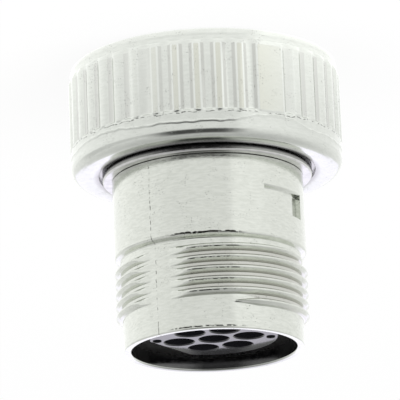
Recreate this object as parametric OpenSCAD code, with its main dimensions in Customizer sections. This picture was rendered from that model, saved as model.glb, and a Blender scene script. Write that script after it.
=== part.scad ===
// Circular connector plug: a die-cast shell with a threaded cable end, a free-turning ribbed coupling ring,
// and a moulded insert that holds snap-in socket contacts.
// Millimetres. The coupling ring's front face stands on z = 0 and the cable end points up.

/* [Coupling ring] */
// Diameter over the grip ribs
ring_d = 31.5; // [30:0.1:34]
// Length of the ring
ring_length = 13; // [12.5:0.1:15]
// Thickness of the ring's side, from the rib tops to the bore
ring_side = 2; // [1.8:0.05:2.2]
// Thickness of the wall at the ring's rear
ring_wall = 1.7; // [1.2:0.1:2.2]
// Room around the retaining ring in the recess of the ring's rear face
recess_gap = 0.4; // [0.2:0.05:0.8]
// Depth of that recess
recess_depth = 0.6; // [0.4:0.05:1]
// Rounding of the front edge
ring_front_round = 0.9; // [0.3:0.1:1.2]
// Rounding of the rear edge
ring_rear_round = 1.2; // [0.3:0.1:1.5]

/* [Grip ribs] */
// Rib places around the ring
rib_count = 40; // [28:1:44]
// Height of the ribs
rib_height = 0.4; // [0.2:0.05:0.6]
// Width of the floor between two ribs
flute_w = 0.6; // [0.4:0.05:1]
// Slope of the ribs' sides from upright
rib_draft = 43; // [20:1:45]
// Distance of the ribs from the ring's front face
rib_setback = 1.4; // [1.2:0.1:2.5]
// Length of the plain band behind the ribs
plain_band = 3.25; // [2:0.05:4]
// Direction of the one wide land, where a flute is left out
wide_land_angle = -119; // [-180:1:180]

/* [Coupling ridges] */
// Helical ridges inside the ring
ridge_starts = 3; // [1:1:3]
// Advance of a ridge in one turn
ridge_lead = 10; // [6:0.5:11]
// Length of a ridge as an angle
ridge_angle = 180; // [90:10:190]
// Height of the ridges
ridge_height = 0.55; // [0.3:0.05:0.6]
// Width of the flat on the ridges
ridge_w = 0.7; // [0.4:0.05:1]
// Distance of the ridges from the ring's front face
ridge_setback = 2.2; // [1.9:0.1:2.6]

/* [Plug shell] */
// Length of the shell from its front lip to the rear rim
shell_length = 33; // [31:0.1:38]
// Distance of the front lip behind the ring's front face
lip_setback = 0.8; // [0.4:0.1:2]
// Outside diameter of the front barrel
front_d = 20.6; // [20:0.1:21.4]
// Bore of the front barrel
front_bore_d = 18.2; // [17.6:0.1:18.5]
// Outside diameter of the main barrel
barrel_d = 22.06; // [21.6:0.02:22.6]
// Bore from the ledge to the rear rim
rear_bore_d = 18.92; // [18.7:0.02:19.2]
// Distance of the bore's ledge behind the front lip
ledge_depth = 13.2; // [11:0.1:15]
// Clearance around the flange as the ring's ridges pass over it
flange_gap = 0.15; // [0.1:0.05:0.4]
// Thickness of the flange
flange_t = 1.3; // [0.8:0.1:2]
// Height of the keys on the front barrel
key_height = 0.7; // [0.4:0.05:0.9]
// Width of the main key
main_key_w = 3.2; // [2.4:0.1:4]
// Width of the other keys
side_key_w = 1.6; // [1:0.1:2]

/* [Rear thread] */
// Diameter over the thread's crests
thread_d = 22.1; // [21.8:0.05:22.4]
// Diameter at the thread's roots
root_d = 20.68; // [20.2:0.02:20.9]
// Diameter of the plain collar at the rear rim
collar_d = 20.6; // [20.58:0.02:21]
// Length of that collar
collar_length = 2; // [1:0.1:2.1]
// Length of the slope from the thread's roots up to the collar
collar_slope = 0.6; // [0.55:0.05:0.8]
// Thread pitch
thread_pitch = 1.27; // [1:0.01:1.5]
// Turns of thread
thread_turns = 5.2; // [3:0.1:6]
// Distance of the last crest from the rear rim
thread_setback = 3.07; // [2.5:0.01:4]
// Width of the flat on the crests
crest_w = 0.16; // [0.1:0.02:0.4]
// Direction in which the thread starts at the rear
thread_start_angle = -103.5; // [-180:0.5:180]
// Depth of the two flats across the thread, below its crests
flat_depth = 0.78; // [0.3:0.02:0.85]
// Direction of the first of those flats
thread_flat_angle = -56; // [-90:1:90]
// Length of the relief between the thread and the barrel's shoulder
relief_length = 1.25; // [1:0.05:2.5]
// Length of the slope down from the shoulder
shoulder_slope = 0.35; // [0.1:0.05:0.6]
// Bevel on the shoulder's edge
shoulder_bevel = 0.25; // [0.1:0.05:0.3]

/* [Barrel panel] */
// Height of the shallow panel along the barrel
panel_h = 2.95; // [2:0.05:4]
// Width of the panel as an angle
panel_angle = 36; // [15:1:50]
// Depth of the panel
panel_depth = 0.55; // [0.15:0.05:0.7]
// Length of the panel's sloped front wall along the axis
panel_slope = 0.42; // [0.1:0.02:0.6]
// Direction of the panel's middle
panel_direction = -143.5; // [-180:0.5:180]
// Distance of the panel from the ring's rear face
panel_offset = 3.8; // [2:0.05:5]

/* [Retaining ring and washer] */
// Height of the retaining ring above the barrel
retainer_height = 1.07; // [0.7:0.01:1.2]
// Thickness of the retaining ring
retainer_t = 1.1; // [0.8:0.05:1.6]
// Depth of the groove that it snaps into
groove_depth = 0.5; // [0.3:0.05:0.7]
// Opening of the split ring as an angle
retainer_gap = 24; // [10:1:60]
// Bevel on its rear outer edge
retainer_bevel = 0.35; // [0.1:0.05:0.5]
// Thickness of the wave washer's strip
washer_t = 0.25; // [0.15:0.05:0.4]
// Width of that strip
washer_w = 0.9; // [0.6:0.05:1.4]
// Room for the wave washer between the flange and the ring's wall
washer_room = 0.8; // [0.6:0.05:1.2]
// Waves around the washer
washer_waves = 3; // [2:1:5]

/* [Contact insert] */
// Diameter of the rear tower
tower_d = 14.84; // [14.4:0.02:15.6]
// Distance of the tower's face inside the rear rim
tower_setback = 1.35; // [0.5:0.05:3]
// Length of the collar that fills the bore above the ledge
insert_collar = 4.5; // [3:0.1:7]
// Distance of the front face behind the shell's lip
insert_front_setback = 1; // [0.4:0.1:2]
// Distance from the axis to the flat on the tower
tower_flat = 6.05; // [5.9:0.05:7]
// Direction of that flat
tower_flat_angle = 34; // [-180:1:180]
// Contacts around the middle one
outer_contacts = 6; // [3:1:6]
// Distance from the middle contact to the others
contact_pitch = 4.07; // [4:0.01:4.2]
// Turn of the contact pattern
contact_turn = 12; // [0:1:20]
// Diameter of the cavities at the rear
cavity_d = 3.4; // [3.2:0.05:3.5]
// Width of the two small tool slots
tool_slot_w = 0.9; // [0.6:0.05:1]
// Length of the tool slots
tool_slot_l = 1.5; // [1:0.05:1.8]
// Depth of the tool slots
tool_slot_depth = 3; // [1:0.1:6]
// Distance of the tool slots from the axis
tool_slot_r = 6.5; // [6.45:0.05:6.6]

/* [Socket contacts] */
// Diameter of the contact's body
contact_d = 2; // [1.8:0.02:2.1]
// Diameter of the hole that takes the pin
socket_hole_d = 1.6; // [1.2:0.02:1.7]
// Depth of that hole
socket_depth = 6.6; // [4:0.1:8]
// Length of the slots between the socket's fingers
socket_slot = 5; // [3:0.1:6]
// Diameter of the stop collar
stop_d = 3.1; // [2.8:0.02:3.15]
// Length of the stop collar
stop_length = 1.25; // [0.8:0.05:2]
// Outside diameter of the crimp barrel
crimp_d = 2.6; // [2.2:0.02:2.8]
// Bore of the crimp barrel
crimp_bore_d = 1.8; // [1.4:0.02:1.9]
// Length of the crimp barrel
crimp_length = 7.2; // [5:0.1:9]
// Diameter of the inspection hole in the crimp barrel
peep_d = 0.7; // [0.4:0.05:0.9]
// Thickness of the spring sleeve's strip
spring_t = 0.14; // [0.1:0.01:0.2]
// Length of the spring sleeve
spring_length = 5.3; // [4:0.1:6]
// Spread of the spring's tines
tine_spread = 0.25; // [0.1:0.01:0.3]

/* [Fits] */
// Running clearance between the ring and the barrel, on the radius
running_gap = 0.08; // [0.03:0.01:0.1]
// Clearance between fitted pieces
fit_gap = 0.04; // [0.02:0.01:0.06]

/* [Hidden] */
$fn = 96;
cut = 0.1;
thread_steps = 30;
flank_angle = 30;
washer_steps = 24;
ring_r = ring_d / 2;
ring_bore_r = ring_r - ring_side;
flute_floor_r = ring_r - rib_height;
ring_bore_bevel = 0.35;
ridge_steps = 16;
ridge_slope = 30;
front_r = front_d / 2;
front_bore_r = front_bore_d / 2;
barrel_r = barrel_d / 2;
rear_bore_r = rear_bore_d / 2;
flange_r = ring_bore_r - ridge_height - flange_gap;
collar_r = collar_d / 2;
root_r = root_d / 2;
crest_r = thread_d / 2;
flat_r = crest_r - flat_depth;
retainer_r = barrel_r + retainer_height;
recess_r = retainer_r + recess_gap;
groove_r = barrel_r - groove_depth;
lip_bevel = 0.3;
rim_bevel = 0.15;
key_turns = [0, 72, 131, -110, -58];
main_key_angle = 90;

// Heights of the stack, from the ring's front face
recess_z = ring_length - recess_depth;
wall_z = recess_z - ring_wall;
flange_top_z = wall_z - washer_room;
flange_z = flange_top_z - flange_t;
lip_z = lip_setback;
rim_z = lip_z + shell_length;
ledge_z = lip_z + ledge_depth;
groove_z = recess_z;
groove_top_z = groove_z + retainer_t + 2 * fit_gap;
thread_z = rim_z - thread_setback;
shoulder_z = thread_z - thread_turns * thread_pitch - relief_length;
shoulder_bevel_rise = shoulder_slope * shoulder_bevel / (barrel_r - root_r);
panel_z = ring_length + panel_offset;

// Insert and contact heights
insert_front_z = lip_z + insert_front_setback;
tower_z = rim_z - tower_setback;
insert_collar_z = ledge_z + insert_collar;
insert_front_r = front_bore_r - fit_gap;
insert_collar_r = rear_bore_r - fit_gap;
tower_r = tower_d / 2;
neck_length = 1.4;
neck_z = ledge_z + 1;
neck_front_z = neck_z - neck_length;
contact_r = contact_d / 2;
contact_gap = 0.1;
neck_r = contact_r + spring_t + contact_gap;
cavity_r = cavity_d / 2;
stop_r = stop_d / 2;
tine_r = contact_r + fit_gap + spring_t + tine_spread;
spring_room_r = tine_r + contact_gap;
spring_top_z = neck_front_z - fit_gap;
spring_z = spring_top_z - spring_length;
spring_room_z = spring_z - contact_gap;
contact_front_z = insert_front_z + 0.6;
stop_z = neck_z + fit_gap;
crimp_z = stop_z + stop_length;
crimp_top_z = crimp_z + crimp_length;
contact_count = outer_contacts + 1;

// Place of a contact: the first is on the axis and the others stand around it
function contact_place(i) =
  i == 0 ? [0, 0]
  : contact_pitch * [
      cos(contact_turn + i * 360 / outer_contacts),
      sin(contact_turn + i * 360 / outer_contacts)
    ];

// Angle between a direction and the nearer of the two flats across the thread
function off_flat(a) = let (d = (a - thread_flat_angle) - 180 * round((a - thread_flat_angle) / 180)) d;

// Crest radius in a direction, cut down where a flat crosses it
function crest_at(a) = min(crest_r, flat_r / max(cos(off_flat(a)), 0.5));

// Faces of a tube of rings with the given number of corners, closed at both ends
function tube_faces(rings, corners) = concat(
  [[for (j = [0 : corners - 1]) j]],
  [
    for (i = [0 : rings - 2], j = [0 : corners - 1])
      [
        i * corners + (j + 1) % corners,
        i * corners + j,
        (i + 1) * corners + j,
        (i + 1) * corners + (j + 1) % corners
      ]
  ],
  [[for (j = [corners - 1 : -1 : 0]) (rings - 1) * corners + j]]
);

// Outer corner between a square edge and a quarter round
module edge_round(r) {
  difference() {
    square(r + cut);
    circle(r);
  }
}

// Block bent around the axis, from one radius to another, centred on a direction
module arc_block(r0, r1, z0, z1, direction, angle) {
  rotate([0, 0, direction - angle / 2])
    rotate_extrude(angle = angle)
      translate([r0, z0])
        square([r1 - r0, z1 - z0]);
}

// Shallow panel of the barrel, with a sloped front wall
module barrel_panel() {
  floor_r = barrel_r - panel_depth;
  outer_r = barrel_r + cut;
  lead = panel_slope * cut / panel_depth;
  rotate([0, 0, panel_direction - panel_angle / 2])
    rotate_extrude(angle = panel_angle)
      polygon([
        [floor_r, panel_z + panel_slope],
        [outer_r, panel_z - lead],
        [outer_r, panel_z + panel_h],
        [floor_r, panel_z + panel_h]
      ]);
}

// Helical ridge of the rear thread, sunk a little into the barrel
module rear_thread() {
  sink = 0.25;
  slope = (crest_r - root_r) * tan(flank_angle);
  root_half = min(crest_w / 2 + slope + sink * tan(flank_angle), thread_pitch * 0.48);
  steps = ceil(thread_turns * thread_steps);
  points = [
    for (i = [0 : steps])
      let (
        turn = thread_turns * i / steps,
        a = thread_start_angle - 360 * turn,
        z = thread_z - thread_pitch * turn,
        r = crest_at(a)
      )
      for (p = [
        [root_r - sink, -root_half],
        [r, -crest_w / 2],
        [r, crest_w / 2],
        [root_r - sink, root_half]
      ])
        [p[0] * cos(a), p[0] * sin(a), z + p[1]]
  ];
  polyhedron(points, tube_faces(steps + 1, 4), convexity = 10);
}

// Keys that line the plug up with its receptacle
module shell_keys() {
  for (turn = key_turns) {
    w = turn == 0 ? main_key_w : side_key_w;
    angle = w / front_r * 180 / PI;
    z0 = lip_z + 2 * lip_bevel;
    arc_block(front_r - cut, front_r + key_height, z0, flange_z + cut, main_key_angle + turn, angle);
  }
}

module plug_shell() {
  color("silver")
    difference() {
      union() {
        rotate_extrude()
          polygon([
            [front_bore_r, lip_z],
            [front_r - lip_bevel, lip_z],
            [front_r, lip_z + lip_bevel],
            [front_r, flange_z],
            [flange_r, flange_z],
            [flange_r, flange_top_z],
            [barrel_r, flange_top_z],
            [barrel_r, groove_z],
            [groove_r, groove_z],
            [groove_r, groove_top_z],
            [barrel_r, groove_top_z],
            [barrel_r, shoulder_z - shoulder_bevel],
            [barrel_r - shoulder_bevel, shoulder_z + shoulder_bevel_rise],
            [root_r, shoulder_z + shoulder_slope],
            [root_r, rim_z - collar_length - collar_slope],
            [collar_r, rim_z - collar_length],
            [collar_r, rim_z - rim_bevel],
            [collar_r - rim_bevel, rim_z],
            [rear_bore_r + rim_bevel, rim_z],
            [rear_bore_r, rim_z - rim_bevel],
            [rear_bore_r, ledge_z],
            [front_bore_r, ledge_z]
          ]);
        shell_keys();
        rear_thread();
      }
      barrel_panel();
    }
}

// Section of the ring before its flutes are cut
module ring_section() {
  difference() {
    union() {
      translate([ring_bore_r, 0])
        square([flute_floor_r - ring_bore_r, ring_length]);
      translate([ring_bore_r, rib_setback])
        square([ring_r - ring_bore_r, ring_length - rib_setback]);
      translate([barrel_r + running_gap, wall_z])
        square([ring_r - barrel_r - running_gap, ring_length - wall_z]);
    }
    translate([flute_floor_r - ring_front_round, ring_front_round])
      mirror([0, 1])
        edge_round(ring_front_round);
    translate([ring_r - ring_rear_round, ring_length - ring_rear_round])
      edge_round(ring_rear_round);
    translate([0, recess_z])
      square([recess_r, recess_depth + cut]);
    polygon([
      [ring_bore_r - cut, -cut],
      [ring_bore_r + ring_bore_bevel + cut, -cut],
      [ring_bore_r - cut, ring_bore_bevel + cut]
    ]);
  }
}

// One flute between two ribs
module flute() {
  flare = (rib_height + cut) * tan(rib_draft);
  translate([0, 0, rib_setback - cut])
    linear_extrude(ring_length - plain_band - rib_setback + cut)
      polygon([
        [flute_floor_r, -flute_w / 2],
        [flute_floor_r, flute_w / 2],
        [ring_r + cut, flute_w / 2 + flare],
        [ring_r + cut, -flute_w / 2 - flare]
      ]);
}

// One helical ridge inside the ring, sunk a little into the ring's side
module coupling_ridge() {
  sink = 0.25;
  root_half = ridge_w / 2 + (ridge_height + sink) * tan(ridge_slope);
  points = [
    for (i = [0 : ridge_steps])
      let (
        a = ridge_angle * i / ridge_steps,
        z = ridge_setback + ridge_lead * a / 360
      )
      for (p = [
        [ring_bore_r + sink, -root_half],
        [ring_bore_r - ridge_height, -ridge_w / 2],
        [ring_bore_r - ridge_height, ridge_w / 2],
        [ring_bore_r + sink, root_half]
      ])
        [p[0] * cos(a), p[0] * sin(a), z + p[1]]
  ];
  polyhedron(points, tube_faces(ridge_steps + 1, 4), convexity = 10);
}

module coupling_ring() {
  color("gainsboro") {
    difference() {
      rotate_extrude()
        ring_section();
      for (i = [1 : rib_count - 1])
        rotate([0, 0, wide_land_angle + i * 360 / rib_count])
          flute();
    }
    for (i = [0 : ridge_starts - 1])
      rotate([0, 0, i * 360 / ridge_starts])
        coupling_ridge();
  }
}

module retaining_ring() {
  z0 = groove_z + fit_gap;
  z1 = z0 + retainer_t;
  color("lightgray")
    rotate([0, 0, main_key_angle + retainer_gap / 2])
      rotate_extrude(angle = 360 - retainer_gap)
        polygon([
          [groove_r + fit_gap, z0],
          [retainer_r, z0],
          [retainer_r, z1 - retainer_bevel],
          [retainer_r - retainer_bevel, z1],
          [groove_r + fit_gap, z1]
        ]);
}

module wave_washer() {
  r0 = barrel_r + 2 * running_gap;
  r1 = r0 + washer_w;
  swing = (washer_room - washer_t) / 2 - fit_gap;
  middle = flange_top_z + washer_room / 2;
  steps = washer_waves * washer_steps;
  points = [
    for (i = [0 : steps - 1])
      let (
        a = 360 * i / steps,
        z = middle + swing * sin(washer_waves * a)
      )
      for (p = [[r0, -0.5], [r1, -0.5], [r1, 0.5], [r0, 0.5]])
        [p[0] * cos(a), p[0] * sin(a), z + p[1] * washer_t]
  ];
  faces = [
    for (i = [0 : steps - 1], j = [0 : 3])
      [
        i * 4 + (j + 1) % 4,
        i * 4 + j,
        ((i + 1) % steps) * 4 + j,
        ((i + 1) % steps) * 4 + (j + 1) % 4
      ]
  ];
  color("slategray")
    polyhedron(points, faces, convexity = 10);
}

// Stepped hole for one contact: socket bore, room for the spring, neck, and wide rear entry
module contact_cavity() {
  rotate_extrude()
    polygon([
      [0, insert_front_z - cut],
      [contact_r + contact_gap, insert_front_z - cut],
      [contact_r + contact_gap, spring_room_z],
      [spring_room_r, spring_room_z],
      [spring_room_r, neck_front_z],
      [neck_r, neck_front_z],
      [neck_r, neck_z],
      [cavity_r, neck_z],
      [cavity_r, tower_z + cut],
      [0, tower_z + cut]
    ]);
}

module contact_cavities() {
  for (i = [0 : contact_count - 1])
    translate(contact_place(i))
      contact_cavity();
}

// Front half of the insert: socket bores and the rooms for the springs
module front_insert() {
  front_bevel = 0.3;
  color([0.1, 0.1, 0.11])
    difference() {
      rotate_extrude()
        polygon([
          [0, insert_front_z],
          [insert_front_r - front_bevel, insert_front_z],
          [insert_front_r, insert_front_z + front_bevel],
          [insert_front_r, neck_front_z],
          [0, neck_front_z]
        ]);
      contact_cavities();
    }
}

// Outline of one tool slot
module tool_slot() {
  reach = (tool_slot_l - tool_slot_w) / 2;
  square([tool_slot_w, 2 * reach], center = true);
  for (end = [-1, 1])
    translate([0, end * reach])
      circle(d = tool_slot_w);
}

// Rear half of the insert: the necks that hold the springs, and the tower with its wide entries
module rear_insert() {
  tower_bevel = 0.15;
  color([0.1, 0.1, 0.11])
    difference() {
      rotate([0, 0, tower_flat_angle + 180])
        rotate_extrude()
          polygon([
            [0, neck_front_z],
            [insert_front_r, neck_front_z],
            [insert_front_r, ledge_z + fit_gap],
            [insert_collar_r, ledge_z + fit_gap],
            [insert_collar_r, insert_collar_z],
            [tower_r, insert_collar_z],
            [tower_r, tower_z - tower_bevel],
            [tower_r - tower_bevel, tower_z],
            [0, tower_z]
          ]);
      contact_cavities();
      for (side = [-1, 1])
        translate([side * tool_slot_r, 0, tower_z - tool_slot_depth])
          linear_extrude(tool_slot_depth + cut)
            tool_slot();
      rotate([0, 0, tower_flat_angle])
        translate([tower_flat, -tower_r, insert_collar_z])
          cube([tower_r, tower_d, tower_z - insert_collar_z + cut]);
    }
}

// Turned contact with a slotted socket at the front and a crimp barrel at the rear
module socket_contact(i) {
  slot_w = 0.25;
  mouth_bevel = 0.12;
  peep_z = crimp_z + peep_d;
  crimp_floor_z = crimp_z + 0.3;
  color("goldenrod")
    translate(contact_place(i))
      difference() {
        rotate_extrude()
          polygon([
            [0, contact_front_z],
            [contact_r - mouth_bevel, contact_front_z],
            [contact_r, contact_front_z + mouth_bevel],
            [contact_r, stop_z],
            [stop_r, stop_z],
            [stop_r, crimp_z],
            [crimp_d / 2, crimp_z],
            [crimp_d / 2, crimp_top_z],
            [0, crimp_top_z]
          ]);
        translate([0, 0, contact_front_z - cut])
          cylinder(d = socket_hole_d, h = socket_depth + cut);
        translate([-contact_d, -slot_w / 2, contact_front_z - cut])
          cube([2 * contact_d, slot_w, socket_slot + cut]);
        translate([0, 0, crimp_floor_z])
          cylinder(d = crimp_bore_d, h = crimp_top_z - crimp_floor_z + cut);
        translate([0, 0, peep_z])
          rotate([90, 0, 0])
            cylinder(d = peep_d, h = crimp_d);
      }
}

// Split spring sleeve with two tines that catch in front of the cavity's neck
module contact_spring(i) {
  sleeve_r0 = contact_r + fit_gap;
  sleeve_r1 = sleeve_r0 + spring_t;
  split = 40;
  tine_angle = 60;
  tine_z = spring_z + spring_length / 3;
  color("lightsteelblue")
    translate(contact_place(i)) {
      rotate([0, 0, split / 2])
        rotate_extrude(angle = 360 - split)
          translate([sleeve_r0, spring_z])
            square([spring_t, spring_length * 0.8]);
      for (side = [90, 270])
        rotate([0, 0, side - tine_angle / 2])
          rotate_extrude(angle = tine_angle)
            polygon([
              [sleeve_r1 - spring_t / 2, tine_z],
              [sleeve_r1 + spring_t / 2, tine_z],
              [tine_r, spring_top_z],
              [tine_r - spring_t, spring_top_z]
            ]);
    }
}

plug_shell();
coupling_ring();
retaining_ring();
wave_washer();
front_insert();
rear_insert();
for (i = [0 : contact_count - 1]) {
  socket_contact(i);
  contact_spring(i);
}
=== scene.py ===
"""Looks of a metal circular connector plug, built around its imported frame."""

import logging
import math
from dataclasses import dataclass
from enum import Enum

import bmesh
import bpy
import numpy as np
from mathutils import Matrix, Vector


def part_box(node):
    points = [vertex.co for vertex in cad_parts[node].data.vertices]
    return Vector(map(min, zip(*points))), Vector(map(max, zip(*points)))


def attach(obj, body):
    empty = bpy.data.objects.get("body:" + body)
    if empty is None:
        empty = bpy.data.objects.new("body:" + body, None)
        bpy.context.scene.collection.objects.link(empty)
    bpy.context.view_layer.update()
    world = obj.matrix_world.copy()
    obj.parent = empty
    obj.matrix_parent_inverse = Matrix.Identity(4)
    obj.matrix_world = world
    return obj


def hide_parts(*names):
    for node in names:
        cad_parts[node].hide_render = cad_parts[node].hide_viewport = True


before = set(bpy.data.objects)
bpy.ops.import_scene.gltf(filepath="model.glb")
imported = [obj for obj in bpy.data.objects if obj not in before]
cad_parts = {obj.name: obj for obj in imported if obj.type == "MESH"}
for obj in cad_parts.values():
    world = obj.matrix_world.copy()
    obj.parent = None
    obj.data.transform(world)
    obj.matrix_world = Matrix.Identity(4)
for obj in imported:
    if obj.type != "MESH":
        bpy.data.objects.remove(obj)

LOG = logging.getLogger("connector_plug")
MM = 0.001
MERGE_MM = 0.002
SAME_MM = 1e-6
SHARP_DEG = 40.0
SUPPORT_MM = 0.04
FILLET_ROOM = 0.98
STRAIGHT_RAD = 1e-3
UP = (0.0, 0.0, 1.0)
THREAD_Z = 30.73
THREAD_PITCH = 1.27
THREAD_START_DEG = -103.5
FLAT_DEG = -56.0
PARTING_DEG = -53.0
PARTING_NORMAL = (-math.sin(math.radians(PARTING_DEG)), math.cos(math.radians(PARTING_DEG)), 0.0)
# Waves per turn and shift in radians of an uneven line around the axis
WANDER_WAVES = ((7, 0.31), (13, 1.7), (23, 2.9), (37, 0.7), (61, 4.1))
# Range that holds most values of a noise texture, and its middle
NOISE_SPREAD = (0.3, 0.7)
NOISE_MIDDLE = 0.5

Colour = tuple[float, float, float]
Steps = tuple[tuple[float, float], ...]


class Body(Enum):
    """Bodies of the frame that pieces ride on."""

    PLUG = "plug"
    COUPLING = "coupling"


class Slot(Enum):
    """Material slots of the record."""

    SHELL = "shell_nickel"
    RING = "ring_nickel"
    RETAINER = "retainer_steel"
    WASHER = "washer_steel"
    INSERT = "insert_plastic"
    CONTACT = "contact_gold"
    SPRING = "spring_steel"


@dataclass(frozen=True)
class Span:
    """Where a node of the frame lies, in millimetres."""

    radius: float
    low: float
    high: float


def span_of(node: str) -> Span:
    """Reads how far a node of the frame reaches from the axis and along it.

    Args:
        node: Name of the node.

    Returns:
        Its widest radius and its two heights.
    """
    low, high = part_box(node)
    return Span(max(high.x, -low.x) / MM, low.z / MM, high.z / MM)


@dataclass(frozen=True)
class Corner:
    """A corner of an outline beside the axis, in millimetres."""

    r: float
    z: float
    fillet: float = 0.0
    steps: int = 4
    spacing: float = 0.0

    @property
    def place(self) -> np.ndarray:
        """The corner as a point."""
        return np.array([self.r, self.z])

    def room(self, other: "Corner") -> float:
        """Length that this corner's fillet may take of the stretch to another corner."""
        share = self.fillet / max(self.fillet + other.fillet, SAME_MM)
        return FILLET_ROOM * share * float(np.linalg.norm(other.place - self.place))


def arc_points(before: Corner, corner: Corner, after: Corner) -> list[np.ndarray]:
    """Rounds one corner of an outline.

    Args:
        before: The corner before it.
        corner: The corner and the fillet that it gets.
        after: The corner after it.

    Returns:
        The points of the fillet, or the corner itself where it has none.
    """
    here = corner.place
    back, ahead = before.place - here, after.place - here
    back, ahead = back / np.linalg.norm(back), ahead / np.linalg.norm(ahead)
    opening = math.acos(float(np.clip(back @ ahead, -1, 1)))
    if corner.fillet <= 0 or opening > math.pi - STRAIGHT_RAD:
        return [here]
    tangent = min(corner.fillet / math.tan(opening / 2), corner.room(before), corner.room(after))
    radius = tangent * math.tan(opening / 2)
    middle = back + ahead
    centre = here + middle / np.linalg.norm(middle) * radius / math.sin(opening / 2)
    start, end = here + back * tangent - centre, here + ahead * tangent - centre
    sweep = math.pi - opening
    turn = np.sign(start[0] * end[1] - start[1] * end[0])
    points = []
    for share in np.linspace(0, 1, corner.steps + 1):
        c, s = math.cos(sweep * share * turn), math.sin(sweep * share * turn)
        points.append(centre + np.array([start[0] * c - start[1] * s, start[0] * s + start[1] * c]))
    return points


def outline(corners: list[Corner]) -> np.ndarray:
    """Draws an open outline with rounded corners and the rows that its straight stretches need.

    Args:
        corners: Corners in order; the first and the last aren't rounded.

    Returns:
        Points as an array of (r, z) rows.
    """
    arcs = [[corners[0].place]]
    for i in range(1, len(corners) - 1):
        arcs.append(arc_points(corners[i - 1], corners[i], corners[i + 1]))
    arcs.append([corners[-1].place])
    points = []
    for i, arc in enumerate(arcs):
        points.extend(arc)
        if i + 1 == len(arcs):
            break
        start, end = arc[-1], arcs[i + 1][0]
        length = float(np.linalg.norm(end - start))
        shares: list[float] = []
        if corners[i].spacing > 0:
            count = max(1, math.ceil(length / corners[i].spacing))
            shares = [k / count for k in range(1, count)]
        elif length > 4 * SUPPORT_MM:
            shares = [SUPPORT_MM / length, 1 - SUPPORT_MM / length]
        points.extend(start + (end - start) * share for share in shares)
    return np.array(points)


def ease(x: np.ndarray, low: float, high: float) -> np.ndarray:
    """Rises smoothly from 0 at low to 1 at high."""
    share = np.clip((x - low) / (high - low), 0.0, 1.0)
    return share * share * (3 - 2 * share)


def turn_between(angles: np.ndarray, direction: float) -> np.ndarray:
    """Signed turn in degrees from a direction to each angle, between -180 and 180."""
    return (angles - direction + 180.0) % 360.0 - 180.0


def soft_min(a: np.ndarray, b: np.ndarray, blend: float) -> np.ndarray:
    """Smaller of two lengths, with their meeting edge rounded over the length blend."""
    share = np.clip(0.5 + (b - a) / (2 * blend), 0.0, 1.0)
    return b * (1 - share) + a * share - blend * share * (1 - share)


def wander(angles: np.ndarray, phase: float) -> np.ndarray:
    """Draws an uneven line around the axis that closes on itself.

    Args:
        angles: Angles in degrees.
        phase: Number that sets one line apart from another.

    Returns:
        Heights between about -1 and 1.
    """
    a = np.radians(angles)
    return sum(np.sin(n * a + shift * (1 + phase)) for n, shift in WANDER_WAVES) / len(WANDER_WAVES)


def around(r: float | np.ndarray, z: float | np.ndarray, angles: np.ndarray) -> np.ndarray:
    """Places a row of points around the axis.

    Args:
        r: Radius in millimetres, for all points or for each.
        z: Height in millimetres, for all points or for each.
        angles: Angles of the points in degrees.

    Returns:
        Points as (column, xyz).
    """
    a = np.radians(angles)
    return np.stack([r * np.cos(a), r * np.sin(a), z * np.ones_like(a)], axis=-1)


def turned(points: np.ndarray, angles: np.ndarray) -> list[np.ndarray]:
    """Turns each point of an outline into a row around the axis."""
    return [around(r, z, angles) for r, z in points]


def new_object(name: str, data: bpy.types.ID) -> bpy.types.Object:
    """Makes an object and links it to the scene.

    Args:
        name: Name of the object.
        data: Its mesh, lamp or camera.

    Returns:
        The new object.
    """
    made = bpy.data.objects.new(name, data)
    bpy.context.scene.collection.objects.link(made)
    return made


def smooth_mesh(mesh: bpy.types.Mesh) -> None:
    """Shades a mesh smooth, apart from its sharp edges."""
    mesh.shade_smooth()
    mesh.set_sharp_from_angle(angle=math.radians(SHARP_DEG))


def skin(name: str, rows: np.ndarray) -> bpy.types.Object:
    """Makes a skin from rows of points around the axis, with the last row joined to the first.

    Args:
        name: Name of the new piece.
        rows: Points as (row, column, xyz) in millimetres; where the skin closes around the axis, its last
            column repeats its first one.

    Returns:
        The new object, linked to the scene.
    """
    count, width = rows.shape[:2]
    first = np.arange(count)
    step = np.arange(width - 1)
    a = (first[:, None] * width + step[None, :]).ravel()
    b = (((first + 1) % count)[:, None] * width + step[None, :]).ravel()
    faces = np.stack([a, a + 1, b + 1, b], axis=1)
    mesh = bpy.data.meshes.new(name)
    mesh.from_pydata((rows.reshape(-1, 3) * MM).tolist(), [], faces.tolist())
    edit = bmesh.new()
    edit.from_mesh(mesh)
    bmesh.ops.remove_doubles(edit, verts=edit.verts, dist=MERGE_MM * MM)
    holes = [e for e in edit.edges if e.is_boundary]
    if holes:
        bmesh.ops.holes_fill(edit, edges=holes, sides=0)
    bmesh.ops.recalc_face_normals(edit, faces=edit.faces)
    edit.to_mesh(mesh)
    edit.free()
    smooth_mesh(mesh)
    return new_object(name, mesh)


def lathe(name: str, points: np.ndarray, angles: np.ndarray) -> bpy.types.Object:
    """Turns a closed outline around the axis.

    Args:
        name: Name of the new piece.
        points: Outline as (r, z) rows in millimetres.
        angles: Angles of the columns in degrees.

    Returns:
        The turned object.
    """
    return skin(name, np.stack(turned(points, angles)))


def opaque(colour: Colour) -> tuple[float, float, float, float]:
    """A colour with full alpha."""
    return (*colour, 1.0)


def bearing_of(angle: float) -> float:
    """Bearing, from the camera's side towards the picture's right, of an angle around the axis."""
    return -90.0 - angle


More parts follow.
